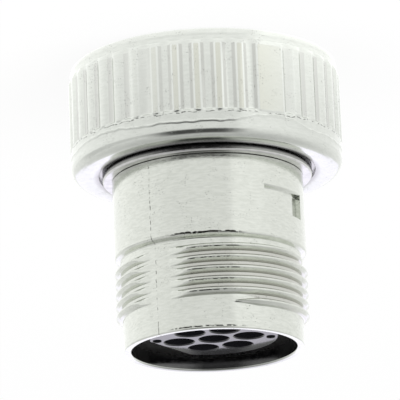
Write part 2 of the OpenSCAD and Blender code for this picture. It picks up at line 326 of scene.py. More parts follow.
class ShaderSheet:
    """Node sheet of one material, with the texture chains that the finishes and the studio share."""

    def __init__(self, name: str) -> None:
        """Starts an empty sheet.

        Args:
            name: Name of the material.
        """
        self.material = bpy.data.materials.new(name)
        self.material.use_nodes = True
        self.tree = self.material.node_tree
        self.tree.nodes.clear()
        self.output = self.add("ShaderNodeOutputMaterial")
        self.place = self.add("ShaderNodeTexCoord").outputs["Object"]

    def add(self, kind: str, **values: object) -> bpy.types.Node:
        """Adds a node.

        Args:
            kind: Name of the node type.
            **values: Input sockets by name, with underscores for blanks: a value, or a socket to join.

        Returns:
            The new node.
        """
        node = self.tree.nodes.new(kind)
        for key, value in values.items():
            self.feed(node.inputs[key.replace("_", " ")], value)
        return node

    def feed(self, target: bpy.types.NodeSocket, value: object) -> None:
        """Sets a socket to a value, or joins another socket to it.

        Args:
            target: The socket to set.
            value: A value, or the socket to join.
        """
        if isinstance(value, bpy.types.NodeSocket):
            self.tree.links.new(value, target)
        else:
            target.default_value = value

    def math(self, operation: str, first: object, second: object = 0.0) -> bpy.types.NodeSocket:
        """Works out one number.

        Args:
            operation: Name of the operation.
            first: First number or socket.
            second: Second number or socket.

        Returns:
            The result's socket.
        """
        node = self.add("ShaderNodeMath")
        node.operation = operation
        self.feed(node.inputs[0], first)
        self.feed(node.inputs[1], second)
        return node.outputs["Value"]

    def along(self, direction: tuple[float, float, float]) -> bpy.types.NodeSocket:
        """Measures each point along a direction of the object.

        Args:
            direction: The direction, one unit long for a distance in metres.

        Returns:
            Socket of the distance.
        """
        node = self.add("ShaderNodeVectorMath")
        node.operation = "DOT_PRODUCT"
        self.feed(node.inputs[0], self.place)
        self.feed(node.inputs[1], direction)
        return node.outputs["Value"]

    def height(self) -> bpy.types.NodeSocket:
        """Height of each point in metres."""
        return self.along(UP)

    def radius(self) -> bpy.types.NodeSocket:
        """Measures how far each point lies from the axis.

        Returns:
            Socket of the distance in metres.
        """
        across, deep = self.along((1.0, 0.0, 0.0)), self.along((0.0, 1.0, 0.0))
        squares = [self.math("MULTIPLY", side, side) for side in (across, deep)]
        return self.math("SQRT", self.math("ADD", *squares))

    def bearing(self, centre: float) -> bpy.types.NodeSocket:
        """Angle of each point around the axis.

        Args:
            centre: Where the angle is 0, in degrees from the camera's side towards the picture's right.

        Returns:
            Socket of the angle, in degrees from -180 to 180.
        """
        c = math.radians(centre)
        ahead = self.along((-math.sin(c), -math.cos(c), 0.0))
        aside = self.along((-math.cos(c), math.sin(c), 0.0))
        return self.math("DEGREES", self.math("ARCTAN2", aside, ahead))

    def noise(self, grain_mm: float, detail: float = 3.0, stretch: float = 1.0) -> bpy.types.NodeSocket:
        """Adds a noise texture with grains of about the given size.

        Args:
            grain_mm: Size of the grains in millimetres.
            detail: Number of finer octaves.
            stretch: How much longer the grains are across the axis than along it.

        Returns:
            Socket of the noise.
        """
        node = self.add("ShaderNodeTexNoise", Scale=1.0 / (grain_mm * MM), Detail=detail)
        drawn = self.add("ShaderNodeVectorMath")
        drawn.operation = "MULTIPLY"
        self.feed(drawn.inputs[0], self.place)
        self.feed(drawn.inputs[1], (1.0 / stretch, 1.0 / stretch, 1.0))
        self.feed(node.inputs["Vector"], drawn.outputs["Vector"])
        return node.outputs["Fac"]

    def blend(
        self, source: object, low: float, high: float, first: float, last: float
    ) -> bpy.types.NodeSocket:
        """Turns a number smoothly from one value to another.

        Args:
            source: The number's socket.
            low: Where the change starts.
            high: Where the change ends.
            first: Value at the start.
            last: Value at the end.

        Returns:
            Socket of the value.
        """
        node = self.add("ShaderNodeMapRange", Value=source, From_Min=low, From_Max=high)
        node.inputs["To Min"].default_value = first
        node.inputs["To Max"].default_value = last
        node.interpolation_type = "SMOOTHSTEP"
        return node.outputs["Result"]

    def rise(self, source: object, low: float, high: float) -> bpy.types.NodeSocket:
        """Mask that rises from 0 at low to 1 at high."""
        return self.blend(source, low, high, 0.0, 1.0)

    def fall(self, source: object, low: float, high: float) -> bpy.types.NodeSocket:
        """Mask that falls from 1 at low to 0 at high."""
        return self.blend(source, low, high, 1.0, 0.0)

    def beside(self, bearing: float, full: float, reach: float) -> bpy.types.NodeSocket:
        """Finds the points on one side of the axis.

        Args:
            bearing: Middle of the zone, in degrees from the camera's side towards the picture's right.
            full: Turn in degrees up to which the mask is 1.
            reach: Turn in degrees from which the mask is 0.

        Returns:
            Socket of the mask.
        """
        return self.fall(self.math("ABSOLUTE", self.bearing(bearing)), full, reach)

    def product(self, *parts: object) -> bpy.types.NodeSocket:
        """Multiplies masks.

        Args:
            *parts: Sockets or numbers, at least two.

        Returns:
            Socket of the product.
        """
        result = parts[0]
        for part in parts[1:]:
            result = self.math("MULTIPLY", result, part)
        return result

    def within(self, source: object, low: float, high: float, soft: float) -> bpy.types.NodeSocket:
        """Finds where a number lies in a range.

        Args:
            source: The number's socket.
            low: Lower end of the range.
            high: Upper end of the range.
            soft: Width over which the mask fades outside the range.

        Returns:
            Socket of the mask.
        """
        return self.product(self.rise(source, low - soft, low), self.fall(source, high, high + soft))

    def ramp(self, source: object, stops: Steps) -> bpy.types.NodeSocket:
        """Maps a number to values by a row of stops.

        Args:
            source: The number's socket.
            stops: Pairs of a number and its value, in rising order.

        Returns:
            Socket of the value.
        """
        low, high = stops[0][0], stops[-1][0]
        peak = max(value for _, value in stops)
        share = self.add("ShaderNodeMapRange", Value=source, From_Min=low, From_Max=high)
        node = self.add("ShaderNodeValToRGB", Fac=share.outputs["Result"])
        marks = node.color_ramp.elements
        while len(marks) < len(stops):
            marks.new(0.5)
        for mark, (number, value) in zip(marks, stops):
            mark.position = (number - low) / (high - low)
            mark.color = (value / peak, value / peak, value / peak, 1.0)
        return self.math("MULTIPLY", node.outputs["Color"], peak)

    def mix(self, share: object, first: object, second: object) -> bpy.types.NodeSocket:
        """Mixes two colours.

        Args:
            share: Share of the second colour.
            first: First colour or socket.
            second: Second colour or socket.

        Returns:
            Socket of the mixed colour.
        """
        node = self.add("ShaderNodeMix")
        node.data_type = "RGBA"
        ends = [s for s in node.inputs if s.type == "RGBA"]
        self.feed(node.inputs["Factor"], share)
        self.feed(ends[0], first)
        self.feed(ends[1], second)
        return next(s for s in node.outputs if s.type == "RGBA")

    def bump(self, height: object, depth_mm: float, normal: object = None) -> bpy.types.NodeSocket:
        """Raises a surface.

        Args:
            height: Socket of the relief, from 0 to 1.
            depth_mm: Height of the relief in millimetres.
            normal: Socket of a coarser relief that this one lies on.

        Returns:
            Socket of the bent normal.
        """
        node = self.add("ShaderNodeBump", Strength=1.0, Distance=depth_mm * MM, Height=height)
        if normal is not None:
            self.feed(node.inputs["Normal"], normal)
        return node.outputs["Normal"]

    def choose(self, share: object, first: object, second: object) -> bpy.types.NodeSocket:
        """Mixes two shaders.

        Args:
            share: Share of the second shader.
            first: Socket of the first shader.
            second: Socket of the second shader.

        Returns:
            Socket of the mixed shader.
        """
        node = self.add("ShaderNodeMixShader", Fac=share)
        self.feed(node.inputs[1], first)
        self.feed(node.inputs[2], second)
        return node.outputs["Shader"]

    def finish(self, shader: object) -> bpy.types.Material:
        """Joins a shader to the sheet's surface.

        Args:
            shader: Socket of the shader.

        Returns:
            The finished material.
        """
        self.feed(self.output.inputs["Surface"], shader)
        return self.material


@dataclass(frozen=True)
class PaintedLight:
    """Zone around the axis where a finish is painted another colour, as painted shade, highlight or
    reflection; lengths in millimetres.
    """

    r_low: float
    r_high: float
    z_low: float
    z_high: float
    soft: float
    colour: Colour
    bearing: float = 0.0
    reach: float = 200.0
    fade: float = 15.0
    z_soft: float = 0.2

    def over(self, sheet: ShaderSheet, colour: object) -> bpy.types.NodeSocket:
        """Lays the zone over a colour.

        Args:
            sheet: The sheet that it is drawn on.
            colour: Socket of the colour below.

        Returns:
            Socket of the new colour.
        """
        aside = sheet.within(sheet.radius(), self.r_low * MM, self.r_high * MM, self.soft * MM)
        along = sheet.within(sheet.height(), self.z_low * MM, self.z_high * MM, self.z_soft * MM)
        side = sheet.beside(self.bearing, self.reach - self.fade, self.reach)
        return sheet.mix(sheet.product(aside, along, side), colour, opaque(self.colour))


@dataclass(frozen=True)
class GrooveShade:
    """Painted shade in the grooves of a thread, kept off its two flats and fainter over one half of the turn;
    lengths in millimetres.
    """

    start_z: float
    start_deg: float
    pitch: float
    past: float
    z_low: float
    r_high: float
    soft: float
    flat_deg: float
    flat_reach: float
    colour: Colour
    run_in: float = 0.1
    faint_half: float = 0.3
    end_soft: float = 0.1
    z_soft: float = 0.2
    flat_soft: float = 8.0
    half_soft: float = 1.0

    def over(self, sheet: ShaderSheet, colour: object) -> bpy.types.NodeSocket:
        """Lays the painted shade over a colour.

        Args:
            sheet: The sheet that it is drawn on.
            colour: Socket of the colour below.

        Returns:
            Socket of the new colour.
        """
        deep = sheet.fall(sheet.radius(), self.r_high * MM, (self.r_high + self.soft) * MM)
        turn = sheet.math("DIVIDE", sheet.bearing(bearing_of(self.start_deg)), 360.0)
        share = sheet.math("FRACT", sheet.math("ADD", turn, 1.0))
        share = sheet.math("ADD", share, sheet.fall(share, 0.0, self.run_in))
        height = sheet.height()
        unrolled = sheet.math("ADD", height, sheet.math("MULTIPLY", share, self.pitch * MM))
        end = self.start_z + self.past
        below = sheet.fall(unrolled, (end - self.end_soft) * MM, end * MM)
        above = sheet.rise(height, (self.z_low - self.z_soft) * MM, self.z_low * MM)
        past_flat = sheet.bearing(bearing_of(self.flat_deg))
        aside = sheet.math("SUBTRACT", sheet.math("ABSOLUTE", past_flat), 90.0)
        off = sheet.math("SUBTRACT", 90.0, sheet.math("ABSOLUTE", aside))
        groove = sheet.rise(off, self.flat_reach, self.flat_reach + self.flat_soft)
        half = sheet.blend(past_flat, -self.half_soft, self.half_soft, self.faint_half, 1.0)
        return sheet.mix(sheet.product(groove, deep, below, above, half), colour, opaque(self.colour))


@dataclass(frozen=True)
class BrokenLine:
    """Dark, wavy, broken line where a plane meets a casting: a casting mark, or a painted dark reflection
    along a rounded edge; lengths in millimetres.
    """

    normal: tuple[float, float, float]
    offset: float
    wave: float
    half_width: float
    gaps: float
    depth: float = 0.8
    bearing: float = 0.0
    reach: float = 180.0
    core: float = 0.6
    wave_mm: float = 0.9
    gap_mm: float = 0.45
    gap_soft: tuple[float, float] = (0.03, 0.09)

    def mask(self, sheet: ShaderSheet) -> bpy.types.NodeSocket:
        """Finds the line.

        Args:
            sheet: The sheet that it is drawn on.

        Returns:
            Socket of the mask, 1 on the line.
        """
        swing = sheet.math("SUBTRACT", sheet.noise(self.wave_mm, detail=4.0), NOISE_MIDDLE)
        swing = sheet.math("MULTIPLY", swing, 2 * self.wave * MM)
        place = sheet.math("SUBTRACT", sheet.math("ADD", sheet.along(self.normal), swing), self.offset * MM)
        width = self.half_width * MM
        line = sheet.fall(sheet.math("ABSOLUTE", place), self.core * width, width)
        low, high = self.gaps - self.gap_soft[0], self.gaps + self.gap_soft[1]
        shown = sheet.blend(sheet.noise(self.gap_mm, detail=4.0), low, high, 0.0, self.depth)
        line = sheet.product(line, shown)
        if self.reach < 180.0:
            line = sheet.product(line, sheet.beside(self.bearing, self.core * self.reach, self.reach))
        return line


@dataclass(frozen=True)
class CrestReflection:
    """Painted dark reflection in broken marks along the rear edge of a thread's crests, on one side of the
    axis; lengths in millimetres.
    """

    start_z: float
    start_deg: float
    pitch: float
    shift: float
    half_width: float
    gaps: float
    depth: float
    r_low: float
    z_low: float
    z_high: float
    bearing: float
    reach: float
    core: float = 0.7
    side_core: float = 0.6
    gap_mm: float = 0.6
    gap_soft: tuple[float, float] = (0.02, 0.06)
    r_soft: float = 0.05
    z_soft: float = 0.1

    def mask(self, sheet: ShaderSheet) -> bpy.types.NodeSocket:
        """Finds the painted dark reflection.

        Args:
            sheet: The sheet that they are drawn on.

        Returns:
            Socket of the mask, 1 on the painted reflection.
        """
        height = sheet.height()
        climb = sheet.math("DIVIDE", sheet.math("SUBTRACT", height, self.start_z * MM), self.pitch * MM)
        turn = sheet.math("DIVIDE", sheet.bearing(bearing_of(self.start_deg)), 360.0)
        phase = sheet.math("ADD", sheet.math("ADD", climb, turn), 0.5 - self.shift / self.pitch)
        off = sheet.math("SUBTRACT", sheet.math("FRACT", phase), 0.5)
        off = sheet.math("MULTIPLY", sheet.math("ABSOLUTE", off), self.pitch)
        line = sheet.fall(off, self.core * self.half_width, self.half_width)
        low, high = self.gaps - self.gap_soft[0], self.gaps + self.gap_soft[1]
        shown = sheet.blend(sheet.noise(self.gap_mm, detail=3.0), low, high, 0.0, self.depth)
        crest = sheet.rise(sheet.radius(), self.r_low * MM, (self.r_low + self.r_soft) * MM)
        zone = sheet.within(height, self.z_low * MM, self.z_high * MM, self.z_soft * MM)
        side = sheet.beside(self.bearing, self.side_core * self.reach, self.reach)
        return sheet.product(line, shown, crest, zone, side)


@dataclass(frozen=True)
class MetalFinish:
    """Plated or bare metal: fine grain, slow ripple, small pits, zones of painted light and shade, broken
    casting lines and painted dark reflections.
    """

    name: str
    slot: Slot
    dark: Colour
    light: Colour
    smooth: float
    rough: float
    grain_mm: float
    grain_depth_mm: float
    ripple_mm: float
    ripple_depth_mm: float
    pit_share: float = 0.0
    pit_mm: float = 0.10
    pit_edge: tuple[float, float] = (0.72, 0.78)
    # Colour of the pits and casting lines, and of the painted dark reflections drawn with them
    mark_and_reflection_colour: Colour = (0.04, 0.04, 0.035)
    crowd_mm: float = 1.7
    crowd_edge: tuple[float, float] = (0.5, 0.62)
    mark_depth_mm: float = 0.02
    patch_mm: float = 0.22
    patch_stretch: float = 4.0
    grain_stretch: float = 3.0
    gloss_mm: float = 0.5
    painted_light: tuple[PaintedLight | GrooveShade, ...] = ()
    lines: tuple[BrokenLine | CrestReflection, ...] = ()
    bore_r: float = 0.0
    bore_z: float = 0.0
    bore_dull: float = 0.0
    bore_r_soft: float = 0.1
    bore_z_soft: float = 3.0

    def marks(self, sheet: ShaderSheet, outside: bpy.types.NodeSocket) -> bpy.types.NodeSocket:
        """Finds the pits, the broken casting lines and the painted dark reflections.

        Args:
            sheet: The sheet that they are drawn on.
            outside: Socket of the mask that keeps the pits off the bore.

        Returns:
            Socket of their mask, 1 in a mark.
        """
        pits = sheet.rise(sheet.noise(self.pit_mm, detail=0.0), *self.pit_edge)
        crowd = sheet.rise(sheet.noise(self.crowd_mm, detail=1.0), *self.crowd_edge)
        mask = sheet.product(pits, crowd, self.pit_share, outside)
        for line in self.lines:
            mask = sheet.math("MAXIMUM", mask, line.mask(sheet))
        return mask

    def plate(self, sheet: ShaderSheet) -> bpy.types.NodeSocket:
        """Colours the metal.

        Args:
            sheet: The sheet that it is drawn on.

        Returns:
            Socket of the colour, with its painted light and shade.
        """
        patches = sheet.rise(sheet.noise(self.patch_mm, stretch=self.patch_stretch), *NOISE_SPREAD)
        plate = sheet.mix(patches, opaque(self.dark), opaque(self.light))
        for painted_zone in self.painted_light:
            plate = painted_zone.over(sheet, plate)
        return plate

    def gloss(self, sheet: ShaderSheet, outside: bpy.types.NodeSocket) -> bpy.types.NodeSocket:
        """Works out the roughness, which grows deep in the bore.

        Args:
            sheet: The sheet that it is drawn on.
            outside: Socket of the mask that is 0 in the bore.

        Returns:
            Socket of the roughness.
        """
        gloss = sheet.blend(sheet.noise(self.gloss_mm), *NOISE_SPREAD, self.smooth, self.rough)
        if self.bore_dull == 0.0:
            return gloss
        deep = sheet.fall(sheet.height(), (self.bore_z - self.bore_z_soft) * MM, self.bore_z * MM)
        inside = sheet.math("SUBTRACT", 1.0, outside)
        return sheet.math("ADD", gloss, sheet.product(deep, inside, self.bore_dull))

    def material(self) -> bpy.types.Material:
        """Builds the finish.

        Returns:
            The material.
        """
        sheet = ShaderSheet(self.name)
        outside = sheet.rise(sheet.radius(), self.bore_r * MM, (self.bore_r + self.bore_r_soft) * MM)
        marks = self.marks(sheet, outside)
        ripple = sheet.bump(sheet.noise(self.ripple_mm, detail=1.0), self.ripple_depth_mm)
        fine = sheet.noise(self.grain_mm, detail=2.0, stretch=self.grain_stretch)
        relief = sheet.product(fine, outside)
        grain = sheet.bump(relief, self.grain_depth_mm, ripple)
        metal = sheet.add(
            "ShaderNodeBsdfPrincipled",
            Metallic=1.0,
            Base_Color=sheet.mix(marks, self.plate(sheet), opaque(self.mark_and_reflection_colour)),
            Roughness=self.gloss(sheet, outside),
            Normal=sheet.bump(marks, self.mark_depth_mm, grain),
        )
        return sheet.finish(metal.outputs["BSDF"])


@dataclass(frozen=True)
class PlasticFinish:
    """Glossy black moulding with faint flow marks."""

    name: str
    slot: Slot
    dark: Colour
    light: Colour
    smooth: float
    rough: float
    index: float
    flow_mm: float = 2.2
    flow_depth_mm: float = 0.004
    gloss_mm: float = 0.4

    def material(self) -> bpy.types.Material:
        """Builds the finish.

        Returns:
            The material.
        """
        sheet = ShaderSheet(self.name)
        flow = sheet.noise(self.flow_mm, detail=2.0)
        plastic = sheet.add(
            "ShaderNodeBsdfPrincipled",
            IOR=self.index,
            Base_Color=sheet.mix(flow, opaque(self.dark), opaque(self.light)),
            Roughness=sheet.blend(sheet.noise(self.gloss_mm), *NOISE_SPREAD, self.smooth, self.rough),
            Normal=sheet.bump(flow, self.flow_depth_mm),
        )
        return sheet.finish(plastic.outputs["BSDF"])


# Painted shade in the thread's grooves and lower flanks, where the next crest hides the light
THREAD_GROOVE_SHADE = GrooveShade(
    start_z=THREAD_Z, start_deg=THREAD_START_DEG, pitch=THREAD_PITCH, past=0.42, z_low=24.3,
    r_high=10.36, soft=0.65, flat_deg=FLAT_DEG, flat_reach=14.0, colour=(0.53, 0.535, 0.495),
)
# Painted shade deep in the shell's bore
BORE_PAINTED_SHADE = PaintedLight(r_low=8.80, r_high=9.55, z_low=14.0, z_high=33.4, soft=0.05, colour=(0.34, 0.34, 0.34))
# Painted shade on the far side of the rim's face
RIM_PAINTED_SHADE = PaintedLight(
    r_low=9.40, r_high=10.40, z_low=33.5, z_high=33.9, soft=0.05, colour=(0.40, 0.41, 0.39),
    bearing=180.0, reach=80.0, fade=45.0,
)
PARTING_LINE = BrokenLine(
    normal=PARTING_NORMAL, offset=0.0, wave=0.2, half_width=0.055, gaps=0.5, depth=0.7
)
# Painted dark reflection along the rim's outer rounding, on the camera's side
RIM_PAINTED_REFLECTION = BrokenLine(
    normal=UP, offset=33.51, wave=0.08, half_width=0.09, gaps=0.42, depth=1.0, bearing=-4.0, reach=28.0
)
# Painted dark reflection along the shoulder's rounding below the thread, on the camera's side
SHOULDER_PAINTED_REFLECTION = BrokenLine(
    normal=UP, offset=22.76, wave=0.16, half_width=0.14, gaps=0.40, depth=1.0, bearing=-2.0, reach=26.0
)
# Painted dark reflection on the thread's crests, on the camera's side
CREST_PAINTED_REFLECTION = CrestReflection(
    start_z=THREAD_Z, start_deg=THREAD_START_DEG, pitch=THREAD_PITCH, shift=0.015, half_width=0.058,
    gaps=0.47, depth=1.0, r_low=10.85, z_low=24.2, z_high=30.9, bearing=2.0, reach=20.0,
)
SHELL_NICKEL = MetalFinish(
    name="shell_nickel_plate", slot=Slot.SHELL, dark=(0.61, 0.63, 0.58), light=(0.67, 0.69, 0.64),
    smooth=0.11, rough=0.18, grain_mm=0.14, grain_depth_mm=0.0028,
    ripple_mm=2.4, ripple_depth_mm=0.004, pit_share=0.5,
    painted_light=(THREAD_GROOVE_SHADE, BORE_PAINTED_SHADE, RIM_PAINTED_SHADE),
    lines=(PARTING_LINE, RIM_PAINTED_REFLECTION, SHOULDER_PAINTED_REFLECTION, CREST_PAINTED_REFLECTION),
    bore_r=9.5, bore_z=33.0, bore_dull=0.57,
)
# Painted shade on the flutes' floors, all round except the camera's side
SIDE_FLUTE_SHADE = PaintedLight(
    r_low=15.40, r_high=15.47, z_low=2.0, z_high=9.5, soft=0.04, colour=(0.55, 0.56, 0.53),
    bearing=186.0, reach=160.0, fade=30.0,
)
# Painted shade on the ribs' flanks, on the camera's side
RIB_FLANK_SHADE = PaintedLight(
    r_low=15.52, r_high=15.62, z_low=2.0, z_high=9.5, soft=0.06, colour=(0.50, 0.51, 0.48),
    bearing=6.0, reach=42.0, fade=28.0,
)
# Painted highlight on the lands' edges, on the camera's side
LAND_EDGE_HIGHLIGHT = PaintedLight(
    r_low=15.69, r_high=15.71, z_low=2.0, z_high=9.6, soft=0.03, colour=(0.68, 0.70, 0.665),
    bearing=6.0, reach=45.0, fade=30.0,
)
# Painted cream reflection on the lands, on the camera's side
LAND_PAINTED_REFLECTION = PaintedLight(
    r_low=15.74, r_high=15.80, z_low=2.1, z_high=9.6, soft=0.02, colour=(0.585, 0.595, 0.53),
    bearing=6.0, reach=40.0, fade=30.0,
)
# Painted shade on the ring's rear face around the recess, all round
RECESS_FAINT_SHADE = PaintedLight(r_low=12.0, r_high=12.6, z_low=12.0, z_high=13.1, soft=0.7, colour=(0.42, 0.42, 0.41))
RECESS_SHADE = PaintedLight(
    r_low=12.0, r_high=13.2, z_low=11.6, z_high=13.1, soft=2.0, colour=(0.06, 0.06, 0.06),
    bearing=-7.0, reach=42.0, fade=28.0,
)
RIB_END_LINE = BrokenLine(normal=UP, offset=10.06, wave=0.34, half_width=0.06, gaps=0.49, depth=0.7)
RING_NICKEL = MetalFinish(
    name="ring_nickel_plate", slot=Slot.RING, dark=(0.61, 0.63, 0.59), light=(0.645, 0.665, 0.625),
    smooth=0.11, rough=0.18, grain_mm=0.14, grain_depth_mm=0.0028,
    ripple_mm=2.0, ripple_depth_mm=0.004, pit_share=0.6,
    painted_light=(SIDE_FLUTE_SHADE, RIB_FLANK_SHADE, LAND_EDGE_HIGHLIGHT, LAND_PAINTED_REFLECTION, RECESS_FAINT_SHADE, RECESS_SHADE),
    lines=(RIB_END_LINE,),
)
# Painted shade on the lower part of the retaining ring's outer wall, down in the coupling ring's recess
RETAINER_PAINTED_SHADE = PaintedLight(r_low=11.90, r_high=12.20, z_low=12.3, z_high=12.95, soft=0.1, colour=(0.20, 0.20, 0.20))
RETAINER_STEEL = MetalFinish(
    name="retainer_bright_steel", slot=Slot.RETAINER, dark=(0.55, 0.55, 0.54), light=(0.64, 0.64, 0.63),
    smooth=0.14, rough=0.24, grain_mm=0.08, grain_depth_mm=0.0006,
    ripple_mm=1.5, ripple_depth_mm=0.002, painted_light=(RETAINER_PAINTED_SHADE,),
)
WASHER_STEEL = MetalFinish(
    name="washer_spring_steel", slot=Slot.WASHER, dark=(0.42, 0.42, 0.43), light=(0.55, 0.55, 0.55),
    smooth=0.22, rough=0.34, grain_mm=0.08, grain_depth_mm=0.001, ripple_mm=1.5, ripple_depth_mm=0.002,
)
SPRING_STEEL = MetalFinish(
    name="tine_strip_steel", slot=Slot.SPRING, dark=(0.48, 0.48, 0.48), light=(0.60, 0.60, 0.60),
    smooth=0.20, rough=0.30, grain_mm=0.06, grain_depth_mm=0.001, ripple_mm=1.0, ripple_depth_mm=0.002,
)
CONTACT_GOLD = MetalFinish(
    name="contact_gold_plate", slot=Slot.CONTACT, dark=(0.76, 0.52, 0.19), light=(0.90, 0.68, 0.30),
    smooth=0.16, rough=0.28, grain_mm=0.06, grain_depth_mm=0.001, ripple_mm=1.0, ripple_depth_mm=0.002,
)
INSERT_BLACK = PlasticFinish(
    name="insert_black_moulding", slot=Slot.INSERT, dark=(0.008, 0.008, 0.010), light=(0.016, 0.016, 0.019),
    smooth=0.06, rough=0.12, index=1.55,
)

Finish = MetalFinish | PlasticFinish


def place_piece(piece: bpy.types.Object, body: Body, finish: Finish, node: str) -> None:
    """Dresses a new piece, puts it on its body and lets it stand for a node of the frame.

    Args:
        piece: The new object.
        body: The body that it rides on.
        finish: Its finish.
        node: The node that it stands for.
    """
    piece.data.materials.clear()
    piece.data.materials.append(finish.material())
    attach(piece, body.value)
    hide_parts(node)
    LOG.info("%s stands for %s, %d faces", piece.name, node, len(piece.data.polygons))


def dress_nodes(nodes: list[str], finish: Finish) -> None:
    """Gives nodes that show as they are their finish.

    Args:
        nodes: Names of the nodes.
        finish: The finish that they share.
    """
    material = finish.material()
    for node in nodes:
        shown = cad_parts[node]
        shown.data.materials.clear()
        shown.data.materials.append(material)
        LOG.info("%s keeps its shape and gets %s", node, finish.name)


@dataclass
class PlugShell:
    """Die-cast shell: keyed front barrel, flange, main barrel with a panel, thread, collar and rim.

    Lengths are in millimetres and angles in degrees, and a join is where two stretches of rows meet.
    """

    whole: Span
    retainer: Span
    front_r: float = 10.3
    front_bore_r: float = 9.1
    bore_join: tuple[float, float] = (1.0, 1.5)
    barrel_r: float = 11.03
    rear_bore_r: float = 9.46
    ledge_depth: float = 13.2
    flange_low: float = 8.6
    flange_high: float = 9.9
    groove_r: float = 10.53
    groove_slack: float = 0.04
    key_height: float = 0.7
    key_setback: float = 0.6
    key_soft: float = 0.06
    key_side_deg: float = 0.3
    key_turns: tuple[float, ...] = (0.0, 72.0, 131.0, -110.0, -58.0)
    main_key: float = 90.0
    main_key_w: float = 3.2
    side_key_w: float = 1.6
    crest_r: float = 11.05
    root_r: float = 10.34
    collar_r: float = 10.3
    collar_length: float = 2.0
    collar_slope: float = 0.6
    collar_join: float = 0.05
    pitch: float = THREAD_PITCH
    turns: float = 5.2
    thread_setback: float = 3.07
    crest_w: float = 0.16
    flank_deg: float = 30.0
    belly_share: float = 0.64
    tilt: float = 0.1
    belly_tilt: float = 0.8
    foot_tilt: float = 0.6
    foot_join: float = 0.05
    start_deg: float = THREAD_START_DEG
    lead_in: float = 0.045
    lead_out: tuple[float, float] = (0.1, 0.05)
    thin_share: float = 0.25
    flat_r: float = 10.27
    flat_deg: float = FLAT_DEG
    flat_round: float = 0.14
    flat_widest_deg: float = 60.0
    relief: float = 1.25
    relief_flat: float = 0.3
    slope: float = 0.35
    panel_low: float = 16.8
    panel_h: float = 2.95
    panel_depth: float = 0.55
    panel_slope: float = 0.42
    panel_deg: float = -143.5
    panel_width_deg: float = 36.0
    panel_lean_deg: float = 0.95
    panel_edge: float = 0.05
    panel_margin: float = 0.12
    panel_side_deg: float = 0.04
    panel_foot_deg: float = 0.1
    panel_wall_rows: int = 9
    seam_deg: float = PARTING_DEG
    seam_height: float = 0.02
    seam_half_deg: float = 0.3
    columns: int = 140
    edge_columns: tuple[float, ...] = (-0.6, -0.3, -0.04, 0.04, 0.3, 0.6)
    flat_columns: tuple[float, float, float] = (4.0, 24.0, 0.8)
    start_columns: tuple[float, float, float] = (1.2, 20.0, 1.2)
    column_gap: float = 0.05
    even_gap: float = 0.2

    @property
    def thread_z(self) -> float:
        """Height of the last crest's start."""
        return self.whole.high - self.thread_setback

    @property
    def shoulder_z(self) -> float:
        """Height of the shoulder below the thread."""
        return self.thread_z - self.turns * self.pitch - self.relief

    @property
    def relief_z(self) -> float:
        """Height where the relief ends and the thread's rows start."""
        return self.shoulder_z + self.slope + self.relief_flat

    def column_angles(self) -> np.ndarray:
        """Chooses the columns: even ones, and closer ones at panel, keys, seams, flats and thread start.

        Returns:
            Turns from the thread's start in degrees, rising from 0 to 360.
        """
        edges = [self.panel_deg + side * self.panel_width_deg / 2 for side in (-1, 1)]
        for turn in self.key_turns:
            half = self.key_half_deg(turn)
            edges += [self.main_key + turn - half, self.main_key + turn + half]
        edges += [self.seam_deg, self.seam_deg + 180.0]
        places = [edge + d for edge in edges for d in self.edge_columns]
        for flat in (self.flat_deg, self.flat_deg + 180.0):
            places += [flat + sign * off for off in np.arange(*self.flat_columns) for sign in (-1, 1)]
        extra = [(self.start_deg - place) % 360.0 for place in places]
        extra += [*np.arange(*self.start_columns)]
        extra = [x for i, x in enumerate(extra) if all(abs(x - y) > self.column_gap for y in extra[:i])]
        even = [i * 360.0 / self.columns for i in range(self.columns)]
        inner = sorted([*extra, *(e for e in even if all(abs(e - x) > self.even_gap for x in extra))])
        start = [] if inner[0] == 0.0 else [0.0]
        return np.array([*start, *inner, 360.0])

    def key_half_deg(self, turn: float) -> float:
        """Half the angle that the key at a turn from the main key takes up."""
        width = self.main_key_w if turn == 0.0 else self.side_key_w
        return math.degrees(width / 2 / self.front_r)

    def front_rows(self) -> np.ndarray:
        """Draws the outline from the bore's front edge, over flange and barrel, to the thread's relief.

        Returns:
            Points as (r, z) rows.
        """
        r0, r1 = self.front_bore_r, self.front_r
        lip, panel_high = self.whole.low, self.panel_low + self.panel_h
        groove_low = self.retainer.low - self.groove_slack
        groove_high = self.retainer.high + self.groove_slack
        key_low = lip + self.key_setback
        edge, margin = self.panel_edge, self.panel_margin
        wall = np.linspace(-edge, self.panel_slope + edge, self.panel_wall_rows)
        panel_rows = [self.panel_low - margin, *(self.panel_low + wall)]
        panel_rows += [panel_high + d for d in (-margin, -edge, 0.0, edge, margin)]
        return outline([
            Corner(r0, lip + self.bore_join[0]),
            Corner(r0, lip, fillet=0.12),
            Corner(r1, lip, fillet=0.3),
            Corner(r1, key_low - self.key_soft),
            Corner(r1, key_low + self.key_soft, spacing=2.0),
            Corner(r1, self.flange_low, fillet=0.15),
            Corner(self.whole.radius, self.flange_low, fillet=0.15),
            Corner(self.whole.radius, self.flange_high, fillet=0.15),
            Corner(self.barrel_r, self.flange_high, fillet=0.15),
            Corner(self.barrel_r, groove_low, fillet=0.04, steps=2),
            Corner(self.groove_r, groove_low, fillet=0.05, steps=2),
            Corner(self.groove_r, groove_high, fillet=0.05, steps=2),
            Corner(self.barrel_r, groove_high, fillet=0.06, steps=3),
            *[Corner(self.barrel_r, z) for z in panel_rows],
            Corner(self.barrel_r, self.shoulder_z, fillet=0.35, steps=7),
            Corner(self.root_r, self.shoulder_z + self.slope, fillet=0.2, steps=5),
            Corner(self.root_r, self.relief_z),
        ])

